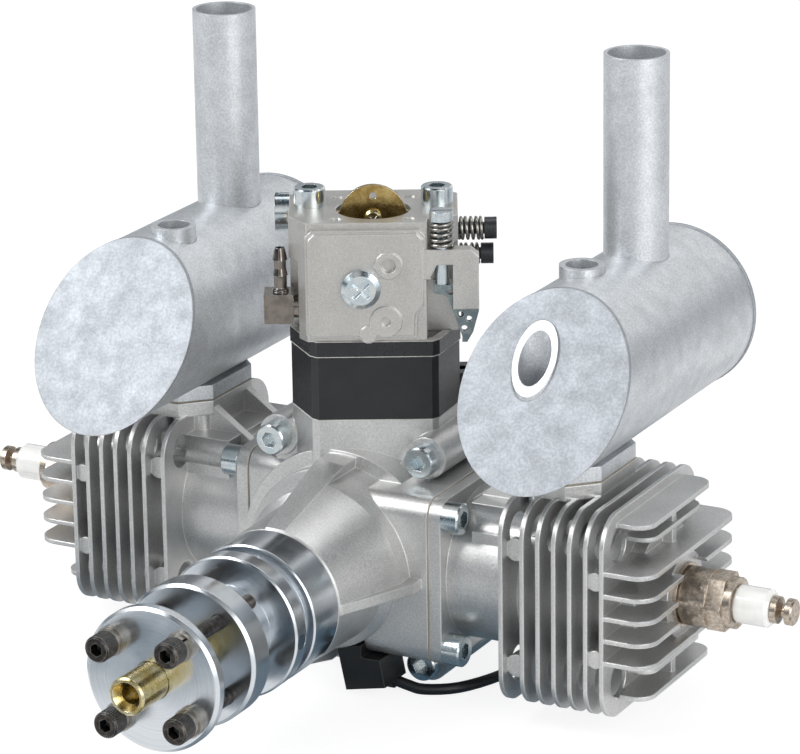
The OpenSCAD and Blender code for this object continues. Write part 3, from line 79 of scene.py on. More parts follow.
class CameraSizes(bpy.types.PropertyGroup):
    lens: FloatProperty(
        name="Lens", description="Focal length on a 36 mm sensor", default=186.6, unit="CAMERA",
    )
    azimuth: FloatProperty(
        name="Azimuth", description="Turn of the view to the right", default=math.radians(28.04),
        subtype="ANGLE",
    )
    elevation: FloatProperty(
        name="Elevation", description="Height of the view", default=math.radians(17.97), subtype="ANGLE",
    )
    roll: FloatProperty(
        name="Roll", description="Tilt of the picture", default=math.radians(-0.847), subtype="ANGLE",
    )
    place: FloatVectorProperty(
        name="Place", description="Camera centre", default=(0.5022, -0.9733, 0.3863), subtype="TRANSLATION",
    )


class StageSizes(bpy.types.PropertyGroup):
    floor_z: FloatProperty(
        name="Floor", description="Height of the floor under the case", default=-0.0343, unit="LENGTH",
    )
    key_power: FloatProperty(
        name="Key", description="Power of the softbox over the left", default=12.0, unit="POWER",
    )
    fill_power: FloatProperty(
        name="Fill", description="Power of the softbox on the right", default=6.0, unit="POWER",
    )
    top_power: FloatProperty(name="Top", description="Power of the softbox above", default=4.0, unit="POWER")


class LeadSizes(bpy.types.PropertyGroup):
    diameter: FloatProperty(
        name="Diameter", description="Outer diameter of the lead", default=0.003, unit="LENGTH",
    )
    coil_radius: FloatProperty(
        name="Coil radius", description="Radius of the coil at the middle of its turns", default=0.011,
        unit="LENGTH",
    )


class SpringSizes(bpy.types.PropertyGroup):
    wire: FloatProperty(name="Wire", description="Radius of the spring wire", default=0.0005, unit="LENGTH")
    turns: IntProperty(name="Turns", description="Open turns of each spring", default=3, min=2)
    teeth: IntProperty(name="Knurl", description="Ridges around a knurled screw head", default=36, min=12)


class Colours(bpy.types.PropertyGroup):
    casting: FloatVectorProperty(
        name="Casting", description="Bead-blasted cast aluminium", default=hex_color("#CFCFCE"), size=4,
        subtype="COLOR",
    )
    muffler: FloatVectorProperty(
        name="Muffler", description="Satin aluminium of the mufflers", default=hex_color("#D6D9DC"), size=4,
        subtype="COLOR",
    )
    hub: FloatVectorProperty(
        name="Hub", description="Turned and polished aluminium", default=hex_color("#D4D9DE"), size=4,
        subtype="COLOR",
    )
    zinc: FloatVectorProperty(
        name="Zinc", description="Blue zinc plating", default=hex_color("#C3D0D6"), size=4, subtype="COLOR",
    )
    gold: FloatVectorProperty(
        name="Yellow zinc", description="Yellow chromate plating", default=hex_color("#C4AE6C"), size=4,
        subtype="COLOR",
    )
    block: FloatVectorProperty(
        name="Insulator", description="Black phenolic of the insulator", default=hex_color("#17191C"), size=4,
        subtype="COLOR",
    )


# Materials

# Settings of a Mix node that blends, multiplies or adds two colours
BLEND = {"data_type": "RGBA"}
MULTIPLY = {"data_type": "RGBA", "blend_type": "MULTIPLY"}
PLUS = {"data_type": "RGBA", "blend_type": "ADD"}


def add(tree, kind, settings=None, stops=(), **inputs):
    """Adds a node with its settings and a ramp's stops. An input is a value, or a socket of another node."""
    node = tree.nodes.new(kind)
    for name, value in (settings or {}).items():
        setattr(node, name, value)
    if stops:
        elements = node.color_ramp.elements
        while len(elements) < len(stops):
            elements.new(0.5)
        for element, (position, value) in zip(elements, stops):
            element.position = position
            element.color = hex_color(value) if isinstance(value, str) else (value, value, value, 1.0)
    for name, value in inputs.items():
        key = name.replace("_", " ")
        socket = node.inputs[int(key[1:])] if key[:1] == "i" and key[1:].isdigit() else node.inputs[key]
        if isinstance(value, bpy.types.NodeSocket):
            tree.links.new(value, socket)
        else:
            socket.default_value = value
    return node


def new_material(name):
    material = bpy.data.materials.new(name)
    material.use_nodes = True
    material.node_tree.nodes.clear()
    return material, material.node_tree


def finish_material(tree, **inputs):
    """Closes a material with its shader and its output."""
    shader = add(tree, "ShaderNodeBsdfPrincipled", **inputs)
    add(tree, "ShaderNodeOutputMaterial", Surface=shader.outputs[0])


def millimetres(tree):
    """Object coordinates in millimetres."""
    place = add(tree, "ShaderNodeTexCoord").outputs["Object"]
    return add(tree, "ShaderNodeVectorMath", {"operation": "SCALE"}, i0=place, Scale=1000.0).outputs[0]


def edge_wear_and_highlight(tree, radius):
    """1 along rounded edges of the surface and 0 on its flats, the mask of rubbed wear and a painted
    highlight, and the rounded normal.
    """
    soft = add(tree, "ShaderNodeBevel", {"samples": 4}, Radius=radius * MM).outputs[0]
    true = add(tree, "ShaderNodeNewGeometry").outputs["Normal"]
    same = add(tree, "ShaderNodeVectorMath", {"operation": "DOT_PRODUCT"}, i0=soft, i1=true).outputs["Value"]
    wear_and_highlight = add(tree, "ShaderNodeMapRange", i0=same, i1=0.995, i2=0.85, i3=0.0, i4=1.0).outputs[0]
    return wear_and_highlight, soft


def cast_aluminium(name, color, grain=0.45):
    """Sand-cast aluminium, bead-blasted: a silvery grey that mirrors only broadly, peened into 0.3 to 0.5 mm
    dimples, clouded over a few millimetres, and lighter along its edges, as rubbed wear with a painted
    highlight."""
    material, tree = new_material(name)
    mm = millimetres(tree)
    wear_and_highlight, soft = edge_wear_and_highlight(tree, 0.5)
    cloud = add(tree, "ShaderNodeTexNoise", Vector=mm, Scale=1 / 9, Detail=3.0).outputs["Fac"]
    peen = add(
        tree, "ShaderNodeTexNoise", Vector=mm, Scale=1 / grain, Detail=2.0, Roughness=0.7,
    ).outputs["Fac"]
    dimple = add(tree, "ShaderNodeTexVoronoi", Vector=mm, Scale=1 / (grain * 1.6)).outputs["Distance"]
    shade = add(tree, "ShaderNodeValToRGB", stops=[(0.3, 0.92), (0.7, 1.04)], Fac=cloud).outputs[0]
    speck = add(
        tree, "ShaderNodeValToRGB", stops=[(0.32, 0.82), (0.5, 1.0), (0.7, 1.22)], Fac=peen,
    ).outputs[0]
    tone = add(tree, "ShaderNodeMix", MULTIPLY, i0=1.0, i6=color, i7=shade).outputs[2]
    tone = add(tree, "ShaderNodeMix", MULTIPLY, i0=0.8, i6=tone, i7=speck).outputs[2]
    # Lighter along the edges: rubbed wear, and a painted highlight
    bright = add(tree, "ShaderNodeMix", BLEND, i0=wear_and_highlight, i6=tone, i7=hex_color("#EDEDEC")).outputs[2]
    rough = add(tree, "ShaderNodeMapRange", i0=peen, i1=0.3, i2=0.7, i3=0.32, i4=0.46).outputs[0]
    height = add(tree, "ShaderNodeMath", {"operation": "ADD"}, i0=peen, i1=dimple).outputs[0]
    bump = add(
        tree, "ShaderNodeBump", Strength=0.3, Distance=0.06 * MM, Height=height, Normal=soft,
    ).outputs[0]
    finish_material(tree, Base_Color=bright, Metallic=0.85, Roughness=rough, Normal=bump)
    return material


def satin_aluminium(name, color, speckle=0.5, metallic=0.85):
    """Rolled and welded aluminium, lightly blasted: pale, with faint patches of a few millimetres where
    it was handled and heated, and fine speckles. The coarser the blast, the less it mirrors."""
    material, tree = new_material(name)
    mm = millimetres(tree)
    wear_and_highlight, soft = edge_wear_and_highlight(tree, 0.35)
    patch = add(
        tree, "ShaderNodeTexNoise", Vector=mm, Scale=1 / 6, Detail=4.0, Roughness=0.65,
    ).outputs["Fac"]
    fine = add(tree, "ShaderNodeTexNoise", Vector=mm, Scale=1 / speckle, Detail=2.0).outputs["Fac"]
    shade = add(
        tree, "ShaderNodeValToRGB", stops=[(0.33, 0.89), (0.5, 0.98), (0.66, 1.06)], Fac=patch,
    ).outputs[0]
    speck = add(
        tree, "ShaderNodeValToRGB", stops=[(0.35, 0.84), (0.5, 1.0), (0.68, 1.2)], Fac=fine,
    ).outputs[0]
    tone = add(tree, "ShaderNodeMix", MULTIPLY, i0=1.0, i6=color, i7=shade).outputs[2]
    tone = add(tree, "ShaderNodeMix", MULTIPLY, i0=0.7, i6=tone, i7=speck).outputs[2]
    # Lighter along the edges: rubbed wear, and a painted highlight
    bright = add(tree, "ShaderNodeMix", BLEND, i0=wear_and_highlight, i6=tone, i7=hex_color("#CDD0D3")).outputs[2]
    rough = add(tree, "ShaderNodeMapRange", i0=patch, i1=0.3, i2=0.7, i3=0.5, i4=0.4).outputs[0]
    bump = add(tree, "ShaderNodeBump", Strength=0.22, Distance=0.05 * MM, Height=fine, Normal=soft).outputs[0]
    finish_material(tree, Base_Color=bright, Metallic=metallic, Roughness=rough, Normal=bump)
    return material


def turned_aluminium(name, color):
    """Aluminium turned on a lathe and polished: near mirror, with the tool's fine rings 0.15 mm apart
    around the crank axis, which draw the light out into bow ties on flat faces."""
    material, tree = new_material(name)
    mm = millimetres(tree)
    centred = add(
        tree, "ShaderNodeVectorMath", {"operation": "MULTIPLY"}, i0=mm, i1=(1.0, 0.0, 1.0),
    ).outputs[0]
    radius = add(tree, "ShaderNodeVectorMath", {"operation": "LENGTH"}, i0=centred).outputs["Value"]
    along = add(tree, "ShaderNodeSeparateXYZ", Vector=mm).outputs["Y"]
    rings = add(tree, "ShaderNodeCombineXYZ", X=radius, Y=along).outputs[0]
    groove = add(
        tree, "ShaderNodeTexNoise", Vector=rings, Scale=1 / 0.3, Detail=2.0, Roughness=0.6,
    ).outputs["Fac"]
    smear = add(tree, "ShaderNodeTexNoise", Vector=mm, Scale=1 / 7, Detail=3.0).outputs["Fac"]
    soft = edge_wear_and_highlight(tree, 0.25)[1]
    tone = add(tree, "ShaderNodeValToRGB", stops=[(0.3, 0.93), (0.7, 1.05)], Fac=groove).outputs[0]
    base = add(tree, "ShaderNodeMix", MULTIPLY, i0=1.0, i6=color, i7=tone).outputs[2]
    rough = add(tree, "ShaderNodeMapRange", i0=smear, i1=0.3, i2=0.7, i3=0.14, i4=0.24).outputs[0]
    bump = add(
        tree, "ShaderNodeBump", Strength=0.1, Distance=0.02 * MM, Height=groove, Normal=soft,
    ).outputs[0]
    around = add(tree, "ShaderNodeTangent", {"direction_type": "RADIAL", "axis": "Y"}).outputs[0]
    finish_material(
        tree, Base_Color=base, Metallic=1.0, Roughness=rough, Anisotropic=0.7, Tangent=around, Normal=bump,
    )
    return material


def plated_steel(name, color, tint, rough=0.28, radius=0.2):
    """Zinc-plated steel: a bright metal under a thin passivation film that shifts between two hues over
    a few millimetres and is a little uneven to the touch."""
    material, tree = new_material(name)
    mm = millimetres(tree)
    wear_and_highlight, soft = edge_wear_and_highlight(tree, radius)
    film = add(tree, "ShaderNodeTexNoise", Vector=mm, Scale=1 / 2.5, Detail=2.0).outputs["Fac"]
    pit = add(tree, "ShaderNodeTexNoise", Vector=mm, Scale=1 / 0.4, Detail=2.0).outputs["Fac"]
    mix = add(tree, "ShaderNodeMapRange", i0=film, i1=0.38, i2=0.62, i3=0.0, i4=1.0).outputs[0]
    base = add(tree, "ShaderNodeMix", BLEND, i0=mix, i6=color, i7=hex_color(tint)).outputs[2]
    # Paler along the edges: rubbed wear, and a painted highlight
    base = add(tree, "ShaderNodeMix", BLEND, i0=wear_and_highlight, i6=base, i7=hex_color("#E6EAEC")).outputs[2]
    gloss = add(tree, "ShaderNodeMapRange", i0=pit, i1=0.3, i2=0.7, i3=rough * 0.7, i4=rough * 1.4).outputs[0]
    bump = add(tree, "ShaderNodeBump", Strength=0.15, Distance=0.03 * MM, Height=pit, Normal=soft).outputs[0]
    finish_material(tree, Base_Color=base, Metallic=1.0, Roughness=gloss, Normal=bump)
    return material


def plain_metal(name, code, rough, scratch=0.3):
    """Ground or drawn metal: even, with a short fine scratch pattern from the wheel."""
    material, tree = new_material(name)
    mm = millimetres(tree)
    wear_and_highlight, soft = edge_wear_and_highlight(tree, 0.15)
    line = add(
        tree, "ShaderNodeTexNoise", Vector=mm, Scale=1 / scratch, Detail=3.0, Roughness=0.7,
    ).outputs["Fac"]
    tone = add(tree, "ShaderNodeValToRGB", stops=[(0.3, 0.85), (0.7, 1.12)], Fac=line).outputs[0]
    base = add(tree, "ShaderNodeMix", MULTIPLY, i0=1.0, i6=hex_color(code), i7=tone).outputs[2]
    gloss = add(
        tree, "ShaderNodeMapRange", i0=line, i1=0.3, i2=0.7, i3=rough * 0.8, i4=rough * 1.25,
    ).outputs[0]
    bump = add(tree, "ShaderNodeBump", Strength=0.12, Distance=0.02 * MM, Height=line, Normal=soft).outputs[0]
    finish_material(tree, Base_Color=base, Metallic=1.0, Roughness=gloss, Normal=bump)
    return material


def oxide_steel(name):
    """Black oxide on steel screws: nearly black with a brown bloom in the hollows, oily gloss, and
    paler edges, rubbed wear with a painted highlight."""
    material, tree = new_material(name)
    mm = millimetres(tree)
    wear_and_highlight, soft = edge_wear_and_highlight(tree, 0.25)
    bloom = add(tree, "ShaderNodeTexNoise", Vector=mm, Scale=1 / 1.6, Detail=3.0).outputs["Fac"]
    tones = [(0.35, "#2F2F30"), (0.55, "#4A4541"), (0.7, "#625E5A")]
    base = add(tree, "ShaderNodeValToRGB", stops=tones, Fac=bloom).outputs[0]
    # Paler along the edges: rubbed wear, and a painted highlight
    base = add(tree, "ShaderNodeMix", BLEND, i0=wear_and_highlight, i6=base, i7=hex_color("#8C8C8C")).outputs[2]
    gloss = add(tree, "ShaderNodeMapRange", i0=bloom, i1=0.3, i2=0.7, i3=0.26, i4=0.45).outputs[0]
    bump = add(tree, "ShaderNodeBump", Strength=0.2, Distance=0.03 * MM, Height=bloom, Normal=soft).outputs[0]
    finish_material(tree, Base_Color=base, Metallic=0.9, Roughness=gloss, Normal=bump)
    return material


def moulded(name, color, rough, grain=0.6, depth=0.03):
    """A moulded or pressed non-metal: even colour, the fine texture of its mould, and lighter edges,
    worn where it is handled and with a painted highlight."""
    material, tree = new_material(name)
    mm = millimetres(tree)
    wear_and_highlight, soft = edge_wear_and_highlight(tree, 0.3)
    skin = add(tree, "ShaderNodeTexNoise", Vector=mm, Scale=1 / grain, Detail=3.0).outputs["Fac"]
    dust = add(tree, "ShaderNodeTexNoise", Vector=mm, Scale=1 / 6, Detail=3.0).outputs["Fac"]
    tone = add(tree, "ShaderNodeValToRGB", stops=[(0.35, 0.82), (0.65, 1.25)], Fac=dust).outputs[0]
    base = add(tree, "ShaderNodeMix", MULTIPLY, i0=1.0, i6=color, i7=tone).outputs[2]
    # A lighter tone for the edges: handling wear, and a painted highlight
    light = add(tree, "ShaderNodeMix", PLUS, i0=0.14, i6=base, i7=hex_color("#C9C4BC")).outputs[2]
    base = add(tree, "ShaderNodeMix", BLEND, i0=wear_and_highlight, i6=base, i7=light).outputs[2]
    gloss = add(
        tree, "ShaderNodeMapRange", i0=skin, i1=0.3, i2=0.7, i3=rough * 0.85, i4=rough * 1.15,
    ).outputs[0]
    bump = add(
        tree, "ShaderNodeBump", Strength=0.25, Distance=depth * MM, Height=skin, Normal=soft,
    ).outputs[0]
    finish_material(tree, Base_Color=base, Roughness=gloss, Normal=bump)
    return material


def glazed_ceramic(name):
    """Glazed alumina of a spark plug: white, glossy under a clear glaze, faintly warm."""
    material, tree = new_material(name)
    mm = millimetres(tree)
    wave = add(tree, "ShaderNodeTexNoise", Vector=mm, Scale=1 / 3, Detail=1.0).outputs["Fac"]
    base = add(tree, "ShaderNodeValToRGB", stops=[(0.3, "#E9E9E6"), (0.7, "#F2F2F0")], Fac=wave).outputs[0]
    bump = add(tree, "ShaderNodeBump", Strength=0.05, Distance=0.05 * MM, Height=wave).outputs[0]
    finish_material(tree, Base_Color=base, Roughness=0.16, Coat_Weight=0.6, Coat_Roughness=0.05, Normal=bump)
    return material


def plug_nickel(name):
    """Nickel plate on a plug shell, browned by heat: dull gold-brown to grey, uneven in gloss."""
    material, tree = new_material(name)
    mm = millimetres(tree)
    wear_and_highlight, soft = edge_wear_and_highlight(tree, 0.2)
    heat = add(tree, "ShaderNodeTexNoise", Vector=mm, Scale=1 / 0.9, Detail=3.0).outputs["Fac"]
    tones = [(0.3, "#A09182"), (0.5, "#BDB0A1"), (0.7, "#D3C9BD")]
    base = add(tree, "ShaderNodeValToRGB", stops=tones, Fac=heat).outputs[0]
    # Lighter along the edges: rubbed wear, and a painted highlight
    base = add(tree, "ShaderNodeMix", BLEND, i0=wear_and_highlight, i6=base, i7=hex_color("#C6BDB2")).outputs[2]
    gloss = add(tree, "ShaderNodeMapRange", i0=heat, i1=0.3, i2=0.7, i3=0.36, i4=0.26).outputs[0]
    bump = add(tree, "ShaderNodeBump", Strength=0.15, Distance=0.03 * MM, Height=heat, Normal=soft).outputs[0]
    finish_material(tree, Base_Color=base, Metallic=1.0, Roughness=gloss, Normal=bump)
    return material


def build_materials(colours):
    return {
        "casting": cast_aluminium("bead-blasted cast aluminium", tuple(colours.casting)),
        "carb casting": cast_aluminium("die-cast zinc aluminium", hex_color("#C4C2BE"), 0.35),
        "muffler": satin_aluminium("satin blasted aluminium", tuple(colours.muffler)),
        "muffler plate": satin_aluminium("coarse blasted aluminium sheet", hex_color("#9A9FA5"), 0.7, 0.3),
        "hub": turned_aluminium("turned polished aluminium", tuple(colours.hub)),
        "zinc": plated_steel("blue zinc plated steel", tuple(colours.zinc), "#D4D8D8", 0.2),
        "lever zinc": plated_steel(
            "dull zinc plated sheet steel", hex_color("#7E8C90"), "#97A1A2", 0.36, 0.3,
        ),
        "gold": plated_steel("yellow zinc plated steel", tuple(colours.gold), "#D8CBA0", 0.24, 0.25),
        "choke gold": plated_steel(
            "yellow chromated brass plate", hex_color("#C2AA70"), "#9A7F4A", 0.22, 0.2,
        ),
        "oxide": oxide_steel("black oxide steel"),
        "washer steel": plain_metal("bright washer steel", "#A7A39C", 0.3),
        "steel": plain_metal("ground bearing steel", "#9DA0A4", 0.22),
        "machined": plain_metal("machined aluminium", "#B8BABD", 0.32),
        "iron": plain_metal("ground cast iron", "#6F7174", 0.4),
        "nickel": plug_nickel("heat-browned nickel plate"),
        "fuel nickel": plated_steel("nickel plated brass", hex_color("#77706A"), "#8D857D", 0.18, 0.2),
        "spring": plain_metal("spring wire steel", "#A3A19C", 0.25),
        "block": moulded("black phenolic", tuple(colours.block), 0.34, 0.9, 0.03),
        "plate": moulded("black phenolic sheet", hex_color("#1E2023"), 0.3, 0.9, 0.02),
        "black metal": moulded("black anodised aluminium", hex_color("#2E3034"), 0.3, 0.5, 0.01),
        "rubber": moulded("nitrile rubber", hex_color("#26262A"), 0.6),
        "gasket": moulded("pressed fibre gasket", hex_color("#8A8272"), 0.8, 0.4),
        "paper": moulded("grey gasket paper", hex_color("#CFCDC8"), 0.75, 0.4),
        "ceramic": glazed_ceramic("glazed alumina"),
        "sensor": moulded("moulded black nylon", hex_color("#121315"), 0.4),
        "lead": moulded("soft black vinyl", hex_color("#1D1E20"), 0.4, 0.8, 0.02),
    }


NODE_FINISH = {
    "casting": ["crankcase", "rear_cover", "cylinder_right", "cylinder_left"],
    "carb casting": ["carb_body", "pump_cover", "metering_cover"],
    "muffler": ["muffler_can_right", "muffler_can_left", "muffler_tubes", "muffler_flanges"],
    "muffler plate": ["muffler_end_plates"],
    "hub": ["drive_hub", "prop_washer"],
    "zinc": ["case_bolts", "cylinder_bolts", "carb_screws", "cover_screws", "idle_screw"],
    "lever zinc": ["throttle_lever"],
    "gold": ["prop_stud", "choke_shaft"],
    "choke gold": ["choke_plate", "throttle_plate"],
    "oxide": ["prop_bolts"],
    "washer steel": ["prop_bolt_washers"],
    "steel": [
        "crankshaft_front", "crank_mid_web", "crankshaft_rear", "bearing_outer_rings", "bearing_balls",
        "bearing_inner_rings", "crank_pin_right", "crank_pin_left", "wrist_pin_right", "wrist_pin_left",
        "hub_magnet", "throttle_shaft",
    ],
    "machined": ["piston_right", "piston_left", "con_rod_right", "con_rod_left", "reed_block"],
    "iron": ["piston_rings_right", "piston_rings_left"],
    "nickel": ["plug_shells", "plug_terminals"],
    "fuel nickel": ["fuel_elbow"],
    "spring": ["adjuster_springs"],
    "block": ["insulator_block"],
    "plate": ["insulator_plate"],
    "black metal": ["needle_high", "needle_low"],
    "rubber": ["shaft_seal"],
    "gasket": ["gaskets"],
    "ceramic": ["plug_ceramics"],
    "sensor": ["sensor_body", "lead_plug"],
    "lead": ["sensor_lead", "lead_coil"],
}


def coat(piece, material):
    """Gives a piece or a CAD node one material."""
    piece.data.materials.clear()
    piece.data.materials.append(material)


def mesh_piece(name, mesh, material_name, body, *stands_for):
    """Links a finished bmesh as a piece that rides on a body."""
    bmesh.ops.recalc_face_normals(mesh, faces=mesh.faces)
    data = bpy.data.meshes.new(name)
    mesh.to_mesh(data)
    mesh.free()
    piece = bpy.data.objects.new(name, data)
    bpy.context.scene.collection.objects.link(piece)
    coat(piece, bpy.data.materials[material_name])
    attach(piece, body)
    if stands_for:
        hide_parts(*stands_for)
    return piece


# Shapes


def coil_spring(mesh, matrix, radius, wire, turns, length):
    """A wire spring along +Z of a frame in millimetres, its end turns closed flat."""
    steps = 28
    ring = bmesh.ops.create_circle(
        mesh, segments=10, radius=wire, cap_ends=True,
        matrix=matrix @ Matrix.Translation((radius, 0, wire)) @ Matrix.Rotation(math.pi / 2, 4, "X"),
    )
    verts = list(ring["verts"])
    faces = list({f for v in verts for f in v.link_faces})
    edges = list({e for v in verts for e in v.link_edges})
    geometry = verts + edges + faces
    along = matrix.to_3x3() @ Vector((0, 0, 1))
    closed_rise = 2 * wire
    open_rise = length - 2 * closed_rise - 2 * wire
    for count, rise in ((1, closed_rise), (turns, open_rise), (1, closed_rise)):
        spun = bmesh.ops.spin(
            mesh, geom=geometry, cent=matrix.translation, axis=along.normalized(),
            dvec=along * (rise / (steps * count)), angle=math.tau * count, steps=steps * count,
        )
        geometry = spun["geom_last"]


def screw_head(mesh, matrix, radius, height, key, depth, teeth):
    """A socket head along +Z of a frame in millimetres: knurled side, chamfered rim, hexagon socket."""
    knurl_depth = 0.13
    made = bmesh.ops.create_circle(mesh, segments=teeth * 4, radius=radius, cap_ends=False, matrix=Matrix())
    loop = made["verts"]
    edges = list({e for v in loop for e in v.link_edges})
    everything = list(loop)

    def place(verts, reach, z):
        for v in verts:
            angle = math.atan2(v.co.y, v.co.x)
            v.co = Vector((math.cos(angle) * reach(angle), math.sin(angle) * reach(angle), z))

    def knurl(angle):
        return radius - knurl_depth * (1 - abs(math.cos(angle * teeth / 2)))

    def hexagon(angle):
        return key / 2 / math.cos((angle + math.pi / 6) % (math.pi / 3) - math.pi / 6)

    rings = [
        (knurl, 0.0), (knurl, height - 0.55), (lambda a: radius - 0.2, height - 0.4),
        (lambda a: radius - 0.45, height), (lambda a: hexagon(a) + 0.12, height),
        (hexagon, height - 0.12), (hexagon, height - depth), (lambda a: 0.3, height - depth - 0.4),
    ]
    place(loop, *rings[0])
    for reach, z in rings[1:]:
        grown = bmesh.ops.extrude_edge_only(mesh, edges=edges)["geom"]
        loop = [g for g in grown if isinstance(g, bmesh.types.BMVert)]
        edges = [
            g for g in grown
            if isinstance(g, bmesh.types.BMEdge) and g.verts[0] in loop and g.verts[1] in loop
        ]
        place(loop, reach, z)
        everything += loop
    bmesh.ops.contextual_create(mesh, geom=edges)
    bmesh.ops.transform(mesh, matrix=matrix, verts=everything)


def turned_profile(mesh, matrix, profile, steps=40):
    """Turns a line of (radius, z) points around the Z axis of a frame in millimetres."""
    verts = [mesh.verts.new(matrix @ Vector((r, 0, z))) for r, z in profile]
    edges = [mesh.edges.new(pair) for pair in zip(verts, verts[1:])]
    bmesh.ops.spin(
        mesh, geom=verts + edges, cent=matrix.translation,
        axis=(matrix.to_3x3() @ Vector((0, 0, 1))).normalized(),
        angle=math.tau, steps=steps, use_merge=True,
    )


def smooth_route(points, steps):
    """A smooth curve through a route, the same one that the CAD tube follows."""
    last = len(points) - 1
    route = []
    for i in range(last):
        a, b, c, d = (points[min(max(k, 0), last)] for k in (i - 1, i, i + 1, i + 2))
        squared = 2 * a - 5 * b + 4 * c - d
        cubed = 3 * b - a - 3 * c + d
        for k in range(steps):
            t = k / steps
            route.append(0.5 * (2 * b + (c - a) * t + squared * t * t + cubed * t**3))
    route.append(points[last])
    return route


# Operators


class ENGINE_OT_camera(bpy.types.Operator):
    """Places the camera where the photograph was taken"""

    bl_idname = "engine.camera"
    bl_label = "Camera"

    def execute(self, context):
        sizes = context.scene.engine_camera
        data = bpy.data.cameras.new("camera")
        camera = bpy.data.objects.new("camera", data)
        context.scene.collection.objects.link(camera)
        a, e = sizes.azimuth, sizes.elevation
        back = Vector((math.sin(a) * math.cos(e), -math.cos(a) * math.cos(e), math.sin(e)))
        right = Vector((math.cos(a), math.sin(a), 0))
        up = back.cross(right)
        turned_right = math.cos(sizes.roll) * right + math.sin(sizes.roll) * up
        turned_up = -math.sin(sizes.roll) * right + math.cos(sizes.roll) * up
        basis = Matrix((turned_right, turned_up, back)).transposed()
        camera.matrix_world = Matrix.Translation(sizes.place) @ basis.to_4x4()
        data.lens = sizes.lens
        data.sensor_width = 36.0
        data.clip_start, data.clip_end = 0.05, 50.0
        context.scene.camera = camera
        return {"FINISHED"}


